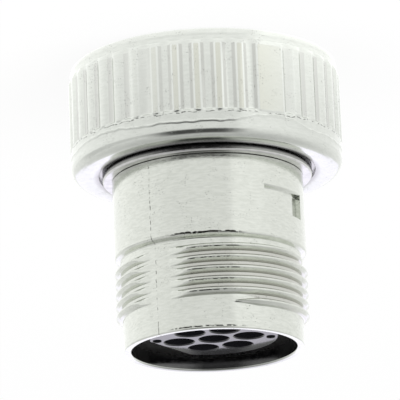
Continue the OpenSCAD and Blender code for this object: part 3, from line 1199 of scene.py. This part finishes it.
    def rear_rows(self) -> np.ndarray:
        """Draws the outline from the collar, over the rim and down the bore to the front.

        Returns:
            Points as (r, z) rows.
        """
        rim, ledge = self.whole.high, self.whole.low + self.ledge_depth
        return outline([
            Corner(self.collar_r, rim - self.collar_length + self.collar_join),
            Corner(self.collar_r, rim, fillet=0.16, steps=5),
            Corner(self.rear_bore_r, rim, fillet=0.2, steps=5),
            Corner(self.rear_bore_r, ledge, fillet=0.1),
            Corner(self.front_bore_r, ledge, fillet=0.1),
            Corner(self.front_bore_r, self.whole.low + self.bore_join[1]),
        ])

    def panel_cut(self, r: float, z: float, angles: np.ndarray) -> np.ndarray:
        """Works out how deep the panel is cut at one row of the shell.

        Args:
            r: Radius of the row in millimetres.
            z: Height of the row in millimetres.
            angles: Angles of the columns in degrees.

        Returns:
            Depth in millimetres for each column.
        """
        inside = self.panel_width_deg / 2 - np.abs(turn_between(angles, self.panel_deg))
        on_barrel = abs(r - self.barrel_r) < SAME_MM
        edge = self.panel_edge
        front = ease(np.array(z - self.panel_low), -edge, self.panel_slope + edge)
        rear = ease(np.array(self.panel_low + self.panel_h - z), -edge, edge)
        ends = ease(inside, -self.panel_side_deg, self.panel_side_deg)
        return self.panel_depth * on_barrel * ends * front * rear

    def panel_lean(self, angles: np.ndarray) -> np.ndarray:
        """Works out by how much the foot of the panel's end walls lies outside their edge.

        Args:
            angles: Angles of the columns in degrees.

        Returns:
            Turn in degrees for each column.
        """
        side = turn_between(angles, self.panel_deg)
        inside = self.panel_width_deg / 2 - np.abs(side)
        return self.panel_lean_deg * np.sign(side) * ((inside > 0.0) & (inside < self.panel_foot_deg))

    def key_rise(self, r: float, z: float, angles: np.ndarray) -> np.ndarray:
        """Works out how far the keys stand out at one row of the shell.

        Args:
            r: Radius of the row in millimetres.
            z: Height of the row in millimetres.
            angles: Angles of the columns in degrees.

        Returns:
            Height in millimetres for each column.
        """
        rise = np.zeros_like(angles)
        if abs(r - self.front_r) > SAME_MM or z > self.flange_low:
            return rise
        for turn in self.key_turns:
            side = self.key_half_deg(turn) - np.abs(turn_between(angles, self.main_key + turn))
            rise = np.maximum(rise, ease(side, -self.key_side_deg, self.key_side_deg))
        past_start = np.array(z - self.whole.low - self.key_setback)
        return self.key_height * rise * float(ease(past_start, -self.key_soft, self.key_soft))

    def seam_rise(self, angles: np.ndarray) -> np.ndarray:
        """Works out how far the two parting seams of the casting stand out.

        Args:
            angles: Angles of the columns in degrees.

        Returns:
            Height in millimetres for each column.
        """
        sides = [np.abs(turn_between(angles, seam)) for seam in (self.seam_deg, self.seam_deg + 180)]
        return self.seam_height * (1 - ease(np.minimum(*sides), 0.0, self.seam_half_deg))

    def thread_section(self) -> np.ndarray:
        """Draws one turn of the thread, from the groove behind its crest to the one before it.

        Returns:
            Points as rows of the height above the groove and the shift along the axis.
        """
        height = self.crest_r - self.root_r
        foot = self.crest_w / 2 + height * math.tan(math.radians(self.flank_deg))
        split = foot + self.foot_join
        belly = self.crest_w / 2 + self.belly_share * (foot - self.crest_w / 2)
        return outline([
            Corner(0.0, split - self.pitch),
            Corner(0.0, self.foot_tilt * self.tilt - foot, fillet=0.03, steps=2),
            Corner(height / 2, self.belly_tilt * self.tilt - belly, fillet=0.5, steps=4),
            Corner(height, self.tilt - self.crest_w / 2, fillet=0.12, steps=3),
            Corner(height, self.tilt + self.crest_w / 2, fillet=0.03, steps=2),
            Corner(0.0, foot, fillet=0.08, steps=2),
            Corner(0.0, split),
        ])[:-1]

    def thread_rows(self, turns: np.ndarray) -> np.ndarray:
        """Rows that follow the helix, from the collar down to the relief.

        Args:
            turns: Turns of the columns from the thread's start in degrees.

        Returns:
            Points as (row, column, xyz).
        """
        section = self.thread_section()
        low, high = self.relief_z, self.whole.high - self.collar_length
        share, angles = turns / 360.0, self.start_deg - turns
        off = np.abs(turn_between(2 * angles, 2 * self.flat_deg)) / 2
        flat = self.flat_r / np.cos(np.radians(np.minimum(off, self.flat_widest_deg)))
        seam = self.seam_rise(angles)
        # The first and last turns lie partly past the ends, where the clipped heights fold them away
        first = math.floor((self.thread_z - high) / self.pitch - 1.5)
        last = math.ceil((self.thread_z - low) / self.pitch + 0.5)
        rows = []
        for crest in range(first, last + 1):
            along = crest + share
            fades = ease(along, self.turns - self.lead_out[0], self.turns + self.lead_out[1])
            present = np.clip(along / self.lead_in, 0.0, 1.0) * (1 - fades)
            width = self.thin_share + (1 - self.thin_share) * present
            for i, (rise, shift) in enumerate(section):
                aside = shift if i == 0 else shift * width
                z = np.clip(self.thread_z - self.pitch * along - aside, low, high)
                root = self.root_r + (self.collar_r - self.root_r) * ease(z, high - self.collar_slope, high)
                r = root + rise * present
                cut = soft_min(r, np.maximum(flat, root), self.flat_round)
                ridge = np.where(rise * present > SAME_MM, cut, r)
                in_groove = rise < (self.crest_r - self.root_r) / 2
                rows.append(around(np.maximum(ridge, root) + seam * in_groove, z, angles))
        return np.stack(rows)

    def build(self) -> bpy.types.Object:
        """Builds the shell.

        Returns:
            The new piece.
        """
        turns = self.column_angles()
        angles = self.start_deg - turns
        seam = self.seam_rise(angles)
        rows = []
        for r, z in self.front_rows():
            on_barrel = abs(r - self.barrel_r) < SAME_MM and z > self.retainer.high
            cut = self.panel_cut(r, z, angles)
            shaped = r - cut + self.key_rise(r, z, angles) + seam * on_barrel
            rows.append(around(shaped, z, angles + self.panel_lean(angles) * cut / self.panel_depth))
        rows.extend(self.thread_rows(turns))
        rows.extend(turned(self.rear_rows(), angles))
        return skin("shell_casting", np.stack(rows))

    def dress(self, piece: bpy.types.Object) -> None:
        """Plates the shell and puts it on the plug."""
        place_piece(piece, Body.PLUG, SHELL_NICKEL, "plug_shell")


@dataclass(frozen=True)
class Dip:
    """Stretch where the flash line sinks; turns in degrees from its direction, depth in millimetres."""

    direction: float
    start: float
    full: float
    back: float
    end: float
    depth: float

    def sink(self, angles: np.ndarray) -> np.ndarray:
        """How far the line sinks at each angle."""
        turn = turn_between(angles, self.direction)
        return self.depth * ease(turn, self.start, self.full) * (1 - ease(turn, self.back, self.end))


@dataclass
class CouplingRing:
    """Ribbed coupling ring with three ridges inside and a wandering flash line round its plain band.

    Lengths are in millimetres and angles in degrees, and a join is where two stretches of rows meet.
    """

    whole: Span
    side: float = 2.0
    wall: float = 1.7
    shaft_r: float = 11.11
    recess_r: float = 12.5
    recess_depth: float = 0.6
    front_round: float = 0.7
    face_join: tuple[float, float] = (0.5, 0.6)
    edge_step: float = 0.03
    edge_run: tuple[float, float] = (0.05, 0.3)
    toe_join: float = 0.1
    rear_round: float = 1.2
    rear_join: float = 0.05
    crown_start: float = 0.1
    crown_drop: float = 0.2
    crown_share: float = 0.95
    crown_rows: int = 8
    rib_count: int = 40
    rib_height: float = 0.31
    flute_half_deg: float = 1.25
    rib_edge_deg: float = 3.15
    rib_columns: tuple[float, ...] = (0.5, 1.2, 1.8, 2.4, 3.0, 3.7)
    land_round: float = 0.5
    band_drop: float = 0.08
    rib_low: float = 1.4
    plain_band: float = 3.25
    wide_land_deg: float = -119.0
    burr_height: float = 0.05
    burr_seed: int = 7
    ragged: float = 0.08
    flash_z: float = 11.07
    flash_height: float = 0.075
    flash_wave: float = 0.14
    flash_dips: tuple[Dip, ...] = (
        Dip(direction=-120.0, start=-20.0, full=-6.0, back=6.0, end=20.0, depth=0.7),
        Dip(direction=-45.0, start=-18.0, full=-4.0, back=10.0, end=30.0, depth=0.45),
    )
    # Share of the ribs' height and distance along the axis where the ribs rise at the front
    rib_toe: Steps = (
        (0.0, -0.05), (0.2, -0.02), (0.3, 0.02), (0.5, 0.15),
        (0.7, 0.29), (0.87, 0.43), (0.96, 0.54), (1.0, 0.68),
    )
    # Share of the flutes' filling, share of the ribs' rise over the band, and distance at the rear
    rib_heel: tuple[tuple[float, float, float], ...] = (
        (0.0, 1.0, -0.5), (0.0, 1.0, -0.26), (0.1, 1.0, -0.16), (0.35, 1.0, -0.07), (0.6, 1.0, 0.0),
        (0.86, 0.8, 0.05), (0.97, 0.55, 0.10), (1.0, 0.3, 0.15), (1.0, 0.1, 0.2), (1.0, 0.0, 0.25),
    )
    # Share of the height and distance along the axis across the burr and across the flash line
    burr_section: Steps = ((0.0, 0.28), (1.0, 0.33), (0.7, 0.38), (0.0, 0.46))
    flash_section: Steps = (
        (0.0, -0.22), (0.0, -0.1), (0.5, -0.05), (1.0, 0.0),
        (0.8, 0.08), (0.42, 0.16), (0.12, 0.24), (0.0, 0.32),
    )
    ridge_starts: int = 3
    ridge_lead: float = 10.0
    ridge_angle: float = 180.0
    ridge_end_deg: float = 3.0
    ridge_height: float = 0.55
    ridge_half: float = 0.35
    ridge_run: float = 0.32
    ridge_low: float = 2.2
    bore_step: float = 0.23
    bore_end: float = 0.6
    wall_join: tuple[float, float] = (0.6, 0.7)
    mouth_join: float = 0.5
    mouth_bevel: float = 0.35

    @property
    def bore_r(self) -> float:
        """Radius of the bore."""
        return self.whole.radius - self.side

    @property
    def floor_r(self) -> float:
        """Radius of the flutes' floors and of the front band."""
        return self.whole.radius - self.rib_height

    @property
    def wall_low(self) -> float:
        """Height of the rear wall's inner face."""
        return self.whole.high - self.recess_depth - self.wall

    def column_angles(self) -> np.ndarray:
        """Chooses columns that follow the flutes' edges.

        Returns:
            Angles in degrees, with the first repeated at the end.
        """
        step = 360.0 / self.rib_count
        half = self.rib_columns
        offsets = [-h for h in reversed(half)] + [0.0, *half, step / 2]
        angles = [self.wide_land_deg + i * step + d for i in range(self.rib_count) for d in offsets]
        return np.array([*angles, angles[0] + 360.0])

    def land(self, angles: np.ndarray) -> np.ndarray:
        """Finds the lands and the flutes between them.

        Args:
            angles: Angles of the columns in degrees.

        Returns:
            Share of the ribs' height for each column: 1 on a land, 0 on a flute's floor.
        """
        step = 360.0 / self.rib_count
        turns = turn_between((angles - self.wide_land_deg) * self.rib_count, 0.0)
        from_flute = np.abs(turns) / self.rib_count
        wide = np.abs(turn_between(angles, self.wide_land_deg)) < step / 2
        ramp = (from_flute - self.flute_half_deg) / (self.rib_edge_deg - self.flute_half_deg)
        above_floor = -soft_min(-ramp, np.zeros_like(ramp), self.land_round)
        return np.where(wide, 1.0, soft_min(above_floor, np.ones_like(ramp), self.land_round))

    def flash_line(self, angles: np.ndarray) -> np.ndarray:
        """Draws the flash line around the plain band.

        Args:
            angles: Angles of the columns in degrees.

        Returns:
            Height in millimetres for each column.
        """
        sunk = sum(dip.sink(angles) for dip in self.flash_dips)
        return self.flash_z - sunk + self.flash_wave * wander(angles, 0.0)

    def outer_rows(self, angles: np.ndarray) -> list[np.ndarray]:
        """Draws the rows from the front face, over ribs, plain band and rear face, to the rear wall's inside.

        Args:
            angles: Angles of the columns in degrees.

        Returns:
            One array of points for each row.
        """
        land = self.land(angles)
        rows = turned(outline([
            Corner(self.bore_r + self.face_join[1], 0.0),
            Corner(self.floor_r + self.edge_step, 0.0, fillet=self.front_round, steps=7),
            Corner(self.floor_r + self.edge_step, self.front_round + self.edge_run[0], fillet=0.1, steps=3),
            Corner(self.floor_r, self.front_round + self.edge_run[1], fillet=0.1, steps=3),
            Corner(self.floor_r, self.rib_low - self.toe_join),
        ]), angles)
        for rise, z in self.rib_toe:
            rows.append(around(self.floor_r + self.rib_height * land * rise, self.rib_low + z, angles))
        flute_top = self.whole.high - self.plain_band
        ragged = flute_top + self.ragged * wander(angles, 1.0)
        band = 1.0 - self.band_drop / self.rib_height
        for flute, rib, z in self.rib_heel:
            height = np.maximum(land * (band + (1 - band) * rib), band * flute)
            rows.append(around(self.floor_r + self.rib_height * height, z + ragged, angles))
        side = self.whole.radius - self.band_drop
        burr = self.burr_height * np.random.default_rng(self.burr_seed).random(len(angles) - 1) ** 3
        burr = np.append(burr, burr[0])
        for rise, z in self.burr_section:
            rows.append(around(side + rise * burr, z + ragged, angles))
        flash = self.flash_line(angles)
        for rise, z in self.flash_section:
            rows.append(around(side + self.flash_height * rise, flash + z, angles))
        high, wall_low = self.whole.high, self.wall_low
        rows += turned(outline([
            Corner(side, high - self.rear_round - self.rear_join),
            Corner(side, high, fillet=self.rear_round, steps=11),
            *self.crown(side - self.rear_round - self.crown_start),
            Corner(self.recess_r, high - self.crown_drop, fillet=0.1, steps=4),
            Corner(self.recess_r, high - self.recess_depth, fillet=0.08, steps=3),
            Corner(self.shaft_r, high - self.recess_depth, fillet=0.08, steps=3),
            Corner(self.shaft_r, wall_low, fillet=0.1, steps=3),
            Corner(self.bore_r, wall_low, fillet=0.3, steps=3),
            Corner(self.bore_r, wall_low - self.wall_join[0]),
        ]), angles)
        return rows

    def crown(self, start: float) -> list[Corner]:
        """Draws the rear face, which falls in a soft curve to the recess.

        Args:
            start: Radius where the curve starts.

        Returns:
            Corners from there to just before the recess.
        """
        shares = np.linspace(0.0, self.crown_share, self.crown_rows)
        reach = start - self.recess_r
        return [Corner(start - reach * s, self.whole.high - self.crown_drop * s * s) for s in shares]

    def ridge_turns(self, angles: np.ndarray) -> list[np.ndarray]:
        """Finds how far each column lies past the start of each ridge.

        Args:
            angles: Angles of the columns in degrees.

        Returns:
            One array of turns in degrees for each ridge.
        """
        return [(angles - start * 360.0 / self.ridge_starts) % 360.0 for start in range(self.ridge_starts)]

    def ridge_middle(self, turn: np.ndarray) -> np.ndarray:
        """Height of a ridge's middle line at each turn past its start."""
        return self.ridge_low + self.ridge_lead * turn / 360.0

    def ridge(self, z: np.ndarray, angles: np.ndarray) -> np.ndarray:
        """Works out how far the coupling ridges stand in from the bore.

        Args:
            z: Heights of one row's points in millimetres.
            angles: Angles of the columns in degrees.

        Returns:
            The ridges' height at each point in millimetres.
        """
        rise = np.zeros_like(angles)
        for turn in self.ridge_turns(angles):
            end = ease(turn, self.ridge_angle - self.ridge_end_deg, self.ridge_angle)
            ends = ease(turn, 0.0, self.ridge_end_deg) * (1 - end)
            off = np.abs(z - self.ridge_middle(turn)) - self.ridge_half
            rise = np.maximum(rise, ends * np.clip(1 - off / self.ridge_run, 0.0, 1.0))
        return self.ridge_height * rise

    def bore_heights(self, angles: np.ndarray) -> np.ndarray:
        """Spreads rows over the bore and moves the nearest ones onto the ridges' edges.

        Args:
            angles: Angles of the columns in degrees.

        Returns:
            Heights in millimetres, with one line of columns for each row of the bore.
        """
        high = self.wall_low - self.wall_join[1]
        levels = np.arange(high, self.bore_end, -self.bore_step)
        heights = np.repeat(levels[:, None], len(angles), axis=1)
        columns = np.arange(len(angles))
        reach = self.ridge_half + self.ridge_run
        for turn in self.ridge_turns(angles):
            held = turn <= self.ridge_angle
            for edge in (-reach, -self.ridge_half, self.ridge_half, reach):
                line = self.ridge_middle(turn) + edge
                row = np.rint((high - line) / self.bore_step).astype(int)
                heights[row[held], columns[held]] = line[held]
        return heights

    def bore_rows(self, angles: np.ndarray) -> list[np.ndarray]:
        """Draws the bore with its ridges, from the wall down to the front face.

        Args:
            angles: Angles of the columns in degrees.

        Returns:
            One array of points for each row.
        """
        rows = [around(self.bore_r - self.ridge(z, angles), z, angles) for z in self.bore_heights(angles)]
        return rows + turned(outline([
            Corner(self.bore_r, self.mouth_join),
            Corner(self.bore_r, self.mouth_bevel, fillet=0.1, steps=2),
            Corner(self.bore_r + self.mouth_bevel, 0.0, fillet=0.1, steps=2),
            Corner(self.bore_r + self.face_join[0], 0.0),
        ]), angles)

    def build(self) -> bpy.types.Object:
        """Builds the ring.

        Returns:
            The new piece.
        """
        angles = self.column_angles()
        rows = self.outer_rows(angles) + self.bore_rows(angles)
        return skin("ring_casting", np.stack(rows))

    def dress(self, piece: bpy.types.Object) -> None:
        """Plates the ring and lets it turn with the coupling."""
        place_piece(piece, Body.COUPLING, RING_NICKEL, "coupling_ring")


@dataclass
class RetainingRing:
    """Split ring of bright steel that snaps into the barrel's groove; millimetres and degrees."""

    whole: Span
    inner_r: float = 10.57
    bevel: float = 0.15
    face_join: float = 0.1
    gap_deg: float = 24.0
    gap_direction: float = 90.0
    columns: int = 240

    def build(self) -> bpy.types.Object:
        """Builds the ring with its two cut ends.

        Returns:
            The new piece.
        """
        r, low, high = self.whole.radius, self.whole.low, self.whole.high
        middle = (self.inner_r + r) / 2
        points = outline([
            Corner(middle, low),
            Corner(r, low, fillet=0.1, steps=3),
            Corner(r, high - self.bevel, fillet=0.1, steps=3),
            Corner(r - self.bevel, high, fillet=0.1, steps=3),
            Corner(self.inner_r, high, fillet=0.05, steps=2),
            Corner(self.inner_r, low, fillet=0.05, steps=2),
            Corner(middle - self.face_join, low),
        ])
        start = self.gap_direction + self.gap_deg / 2
        angles = np.linspace(start, start + 360.0 - self.gap_deg, self.columns)
        return lathe("retaining_snap_ring", points, angles)

    def dress(self, piece: bpy.types.Object) -> None:
        """Gives the ring its steel and puts it on the plug."""
        place_piece(piece, Body.PLUG, RETAINER_STEEL, "retaining_ring")


@dataclass
class RearInsert:
    """Rear half of the black insert: collar, tower with a flat, seven stepped cavities and two tool slots.

    Lengths are in millimetres and angles in degrees.
    """

    whole: Span
    seat_r: float = 9.06
    seat_z: float = 14.04
    collar_high: float = 18.5
    tower_r: float = 7.42
    flat: float = 6.05
    flat_deg: float = 34.0
    contacts: int = 6
    contact_pitch: float = 4.07
    contact_turn: float = 12.0
    neck_r: float = 1.24
    neck_z: float = 15.0
    cavity_r: float = 1.7
    tool_r: float = 0.45
    tool_reach: float = 0.3
    tool_place: float = 6.5
    tool_depth: float = 3.0
    mouth: float = 0.12
    over: float = 0.3
    under: float = 0.5
    flat_over: float = 1.0
    columns: int = 180
    hole_columns: int = 72

    def places(self) -> list[tuple[float, float]]:
        """Finds the places of the middle cavity and the ring of cavities around it.

        Returns:
            The places across the axis in millimetres.
        """
        turns = [math.radians(self.contact_turn + i * 360.0 / self.contacts) for i in range(self.contacts)]
        ring = [(self.contact_pitch * math.cos(a), self.contact_pitch * math.sin(a)) for a in turns]
        return [(0.0, 0.0), *ring]

    def body(self) -> bpy.types.Object:
        """Turns the insert before it is cut.

        Returns:
            The uncut piece.
        """
        low, high = self.whole.low, self.whole.high
        points = outline([
            Corner(0.0, low),
            Corner(self.seat_r, low, fillet=0.1, steps=3),
            Corner(self.seat_r, self.seat_z, fillet=0.05, steps=2),
            Corner(self.whole.radius, self.seat_z, fillet=0.12, steps=3),
            Corner(self.whole.radius, self.collar_high, fillet=0.2, steps=3),
            Corner(self.tower_r, self.collar_high, fillet=0.15, steps=3),
            Corner(self.tower_r, high, fillet=0.18, steps=5),
            Corner(0.0, high),
        ])
        return lathe("insert_tower", points, np.linspace(0.0, 360.0, self.columns + 1))

    def drill(
        self, name: str, points: np.ndarray, place: tuple[float, float], reach: float = 0.0
    ) -> bpy.types.Object:
        """Turns one cutter, stretches it to a slot and moves it to its place.

        Args:
            name: Name of the cutter.
            points: Its outline.
            place: Its place in millimetres.
            reach: How far each half of the hole is moved from the hole's middle to make a slot.

        Returns:
            The cutter.
        """
        half = 180.0 / self.hole_columns
        angles = np.linspace(half, 360.0 + half, self.hole_columns + 1)
        rows = np.stack(turned(points, angles))
        rows[..., 1] += reach * np.sign(rows[..., 1])
        rows[..., :2] += place
        return skin(name, rows)

    def flat_block(self) -> bpy.types.Object:
        """Makes the block that cuts the tower's flat.

        Returns:
            The block.
        """
        mesh = bpy.data.meshes.new("flat_block")
        edit = bmesh.new()
        bmesh.ops.create_cube(edit, size=1.0)
        high = self.whole.high + self.flat_over
        size = Vector((self.tower_r, 3 * self.tower_r, high - self.collar_high)) * MM
        middle = Vector((self.flat + self.tower_r / 2, 0.0, (high + self.collar_high) / 2)) * MM
        turn = Matrix.Rotation(math.radians(self.flat_deg), 4, "Z")
        edit.transform(turn @ Matrix.Translation(middle) @ Matrix.Diagonal((*size, 1.0)))
        edit.to_mesh(mesh)
        edit.free()
        return new_object("flat_block", mesh)

    def cutters(self) -> list[bpy.types.Object]:
        """Makes every cutter: seven cavities, two tool slots and the flat.

        Returns:
            The cutters.
        """
        low, high = self.whole.low - self.under, self.whole.high
        mouth, over = self.mouth, self.over
        cavity = outline([
            Corner(0.0, low),
            Corner(self.neck_r, low),
            Corner(self.neck_r, self.neck_z, fillet=0.05, steps=2),
            Corner(self.cavity_r, self.neck_z, fillet=0.05, steps=2),
            Corner(self.cavity_r, high - mouth, fillet=0.1, steps=3),
            Corner(self.cavity_r + mouth + over, high + over),
            Corner(0.0, high + over),
        ])
        tool = outline([
            Corner(0.0, high - self.tool_depth),
            Corner(self.tool_r, high - self.tool_depth),
            Corner(self.tool_r, high - mouth / 2, fillet=0.05, steps=2),
            Corner(self.tool_r + mouth / 2 + over, high + over),
            Corner(0.0, high + over),
        ])
        made = [self.drill(f"cavity_cutter_{i}", cavity, place) for i, place in enumerate(self.places())]
        spots = [(side * self.tool_place, 0.0) for side in (-1, 1)]
        made += [self.drill(f"tool_cutter_{i}", tool, spot, self.tool_reach) for i, spot in enumerate(spots)]
        return [*made, self.flat_block()]

    def build(self) -> bpy.types.Object:
        """Builds the insert by cutting its holes and flat.

        Returns:
            The new piece.
        """
        piece = self.body()
        for cutter in self.cutters():
            cut = piece.modifiers.new(cutter.name, "BOOLEAN")
            cut.operation, cut.solver, cut.object = "DIFFERENCE", "EXACT", cutter
            shaped = piece.evaluated_get(bpy.context.evaluated_depsgraph_get())
            mesh = bpy.data.meshes.new_from_object(shaped)
            piece.modifiers.clear()
            piece.data = mesh
            bpy.data.objects.remove(cutter)
        smooth_mesh(piece.data)
        return piece

    def dress(self, piece: bpy.types.Object) -> None:
        """Gives the insert its black gloss and puts it on the plug."""
        place_piece(piece, Body.PLUG, INSERT_BLACK, "rear_insert")


@dataclass(frozen=True)
class Patch:
    """A soft-edged patch of the studio's dome.

    Angles are in degrees, and bearings run from the camera's side towards the picture's right.
    """

    bearing: float
    half_width: float
    low: float
    high: float
    soft_side: float
    soft_edge: float
    colour: Colour


@dataclass
class Studio:
    """White floor, a dome that only reflections see, soft lamps and a white world; lengths in metres."""

    floor_size: float = 4.0
    floor_shadow: float = 0.12
    floor_paint: float = 0.9
    floor_gap_mm: float = 0.02
    dome_r: float = 1.2
    dome_columns: int = 96
    dome_rows: int = 48
    lamp_distance: float = 0.7
    world_glow: float = 0.75
    floor_by_bearing: Steps = (
        (-180.0, 1.25), (-112.0, 1.24), (-93.0, 1.16), (-62.0, 1.08), (-38.0, 1.0),
        (22.0, 1.0), (29.0, 1.18), (55.0, 1.17), (75.0, 1.12), (110.0, 1.11), (150.0, 1.18), (180.0, 1.2),
    )
    floor_by_distance: Steps = (
        (0.0150, 1.35), (0.0185, 1.22), (0.0300, 1.12), (0.0450, 1.06), (0.0600, 1.0),
    )
    dome_by_height: Steps = (
        (0.0, 1.10), (12.0, 1.10), (25.0, 1.0), (46.0, 0.80), (60.0, 0.70), (76.0, 0.62), (90.0, 0.52),
    )
    patches: tuple[Patch, ...] = (
        Patch(
            bearing=-85.0, half_width=40.0, low=4.0, high=28.0, soft_side=24.0, soft_edge=10.0,
            colour=(0.80, 0.80, 0.80),
        ),
        Patch(
            bearing=-7.0, half_width=37.0, low=9.0, high=57.0, soft_side=34.0, soft_edge=22.0,
            colour=(0.09, 0.09, 0.09),
        ),
        Patch(
            bearing=180.0, half_width=22.0, low=6.0, high=25.0, soft_side=6.0, soft_edge=4.0,
            colour=(1.42, 1.38, 1.55),
        ),
    )

    def floor_material(self) -> bpy.types.Material:
        """Floor that is white to the camera, keeps a faint shadow and lights reflections.

        Returns:
            The material.
        """
        sheet = ShaderSheet("studio_floor")
        path = sheet.add("ShaderNodeLightPath")
        paint = sheet.add("ShaderNodeBsdfDiffuse", Color=opaque((self.floor_paint,) * 3)).outputs["BSDF"]
        white = sheet.add("ShaderNodeEmission", Strength=1.0).outputs["Emission"]
        near = sheet.ramp(sheet.radius(), self.floor_by_distance)
        glow = sheet.product(near, sheet.ramp(sheet.bearing(0.0), self.floor_by_bearing))
        mirrored = sheet.add("ShaderNodeEmission", Strength=glow).outputs["Emission"]
        seen = sheet.choose(1.0 - self.floor_shadow, paint, white)
        lit = sheet.choose(path.outputs["Is Camera Ray"], paint, seen)
        return sheet.finish(sheet.choose(path.outputs["Is Glossy Ray"], lit, mirrored))

    def dome_material(self) -> bpy.types.Material:
        """Dome whose glow falls from the horizon to the top, with its patches.

        Returns:
            The material.
        """
        sheet = ShaderSheet("studio_dome")
        lift = sheet.math("DEGREES", sheet.math("ARCSINE", sheet.along((0.0, 0.0, 1.0 / self.dome_r))))
        colour = sheet.ramp(lift, self.dome_by_height)
        for patch in self.patches:
            middle, half = (patch.low + patch.high) / 2, (patch.high - patch.low) / 2
            above = sheet.math("ABSOLUTE", sheet.math("SUBTRACT", lift, middle))
            side, edge = patch.soft_side / 2, patch.soft_edge / 2
            wide = sheet.beside(patch.bearing, patch.half_width - side, patch.half_width + side)
            tall = sheet.fall(above, half - edge, half + edge)
            colour = sheet.mix(sheet.product(wide, tall), colour, opaque(patch.colour))
        glow = sheet.add("ShaderNodeEmission", Color=colour, Strength=1.0)
        return sheet.finish(glow.outputs["Emission"])

    def hang_dome(self) -> None:
        """Hangs the dome around the object."""
        mesh = bpy.data.meshes.new("studio_dome")
        edit = bmesh.new()
        bmesh.ops.create_uvsphere(
            edit, u_segments=self.dome_columns, v_segments=self.dome_rows, radius=self.dome_r
        )
        edit.to_mesh(mesh)
        edit.free()
        mesh.shade_smooth()
        mesh.materials.append(self.dome_material())
        dome = new_object("studio_dome", mesh)
        dome.visible_camera = dome.visible_diffuse = dome.visible_shadow = dome.visible_transmission = False

    def lay_floor(self) -> None:
        """Lays the floor just under the object."""
        mesh = bpy.data.meshes.new("studio_floor")
        half, under = self.floor_size / 2, -self.floor_gap_mm * MM
        corners = [(-half, -half, under), (half, -half, under), (half, half, under), (-half, half, under)]
        mesh.from_pydata(corners, [], [(0, 1, 2, 3)])
        mesh.materials.append(self.floor_material())
        new_object("studio_floor", mesh)

    def lamp(self, name: str, bearing: float, height: float, size: float, power: float) -> None:
        """Hangs a soft square lamp that aims at the object.

        Args:
            name: Name of the lamp.
            bearing: Direction from the camera towards the picture's right, in degrees.
            height: Height above the horizon, in degrees.
            size: Side of the lamp in metres.
            power: Power in watts.
        """
        data = bpy.data.lights.new(name, "AREA")
        data.size, data.energy = size, power
        a, e = math.radians(bearing), math.radians(height)
        out = Vector((-math.sin(a) * math.cos(e), -math.cos(a) * math.cos(e), math.sin(e)))
        lamp = new_object(name, data)
        lamp.location = out * self.lamp_distance
        lamp.rotation_mode = "QUATERNION"
        lamp.rotation_quaternion = out.to_track_quat("Z", "Y")
        lamp.visible_glossy = False

    def world(self) -> None:
        """Sets a world that is white to the camera and soft grey to the object."""
        world = bpy.data.worlds.new("studio_world")
        bpy.context.scene.world = world
        world.use_nodes = True
        tree = world.node_tree
        back = tree.nodes["Background"]
        back.inputs["Color"].default_value = (1.0, 1.0, 1.0, 1.0)
        path = tree.nodes.new("ShaderNodeLightPath")
        level = tree.nodes.new("ShaderNodeMapRange")
        level.inputs["To Min"].default_value = self.world_glow
        level.inputs["To Max"].default_value = 1.0
        tree.links.new(path.outputs["Is Camera Ray"], level.inputs["Value"])
        tree.links.new(level.outputs["Result"], back.inputs["Strength"])

    def build(self) -> None:
        """Builds the stage and its light."""
        self.lay_floor()
        self.hang_dome()
        self.lamp("soft_key", bearing=50.0, height=50.0, size=0.5, power=2.0)
        self.lamp("soft_fill", bearing=-60.0, height=45.0, size=0.6, power=1.2)
        self.world()


@dataclass(frozen=True)
class PhotoCamera:
    """Camera at the photograph's viewing angle, which sees the plug with its cable end down.

    Lengths are in metres, angles in degrees and places in the picture in pixels.
    """

    distance: float = 0.500
    elevation: float = 15.99
    roll: float = -2.37
    focal_px: float = 4342.0
    picture_px: float = 400.0
    sensor_mm: float = 36.0
    clip: tuple[float, float] = (0.01, 10.0)
    turn_point: Vector = Vector((0.0, 0.0, 0.0178))
    turn_point_px: tuple[float, float] = (208.9, 215.8)

    def build(self) -> bpy.types.Object:
        """Makes the camera and gives it to the scene.

        Returns:
            The camera.
        """
        e, roll = math.radians(self.elevation), math.radians(self.roll)
        place = self.turn_point + Vector((0.0, -math.cos(e), math.sin(e))) * self.distance
        right, down = Vector((-1.0, 0.0, 0.0)), Vector((0.0, math.sin(e), math.cos(e)))
        right, down = (
            right * math.cos(roll) - down * math.sin(roll),
            right * math.sin(roll) + down * math.cos(roll),
        )
        step = self.distance / self.focal_px
        aside, below = ((self.picture_px / 2 - px) * step for px in self.turn_point_px)
        aim = self.turn_point + right * aside + down * below
        back = (place - aim).normalized()
        across = (right - back * right.dot(back)).normalized()
        data = bpy.data.cameras.new("photo_camera")
        data.sensor_width = self.sensor_mm
        data.lens = self.focal_px * self.sensor_mm / self.picture_px
        data.clip_start, data.clip_end = self.clip
        camera = new_object("photo_camera", data)
        axes = Matrix((across, back.cross(across), back)).transposed().to_4x4()
        camera.matrix_world = Matrix.Translation(place) @ axes
        bpy.context.scene.camera = camera
        return camera


def main() -> None:
    """Builds the plug piece by piece, then its studio and camera."""
    logging.basicConfig(level=logging.INFO, format="%(name)s: %(message)s")
    bpy.context.scene.view_settings.view_transform = "Standard"
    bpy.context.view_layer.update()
    parts = [
        PlugShell(span_of("plug_shell"), span_of("retaining_ring")),
        CouplingRing(span_of("coupling_ring")),
        RetainingRing(span_of("retaining_ring")),
        RearInsert(span_of("rear_insert")),
    ]
    for part in parts:
        part.dress(part.build())
    dress_nodes(["front_insert"], INSERT_BLACK)
    dress_nodes(["wave_washer"], WASHER_STEEL)
    count = sum(name.startswith("socket_contact_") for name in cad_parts)
    dress_nodes([f"socket_contact_{i + 1}" for i in range(count)], CONTACT_GOLD)
    dress_nodes([f"contact_spring_{i + 1}" for i in range(count)], SPRING_STEEL)
    Studio().build()
    PhotoCamera().build()


if __name__ == "__main__":
    main()
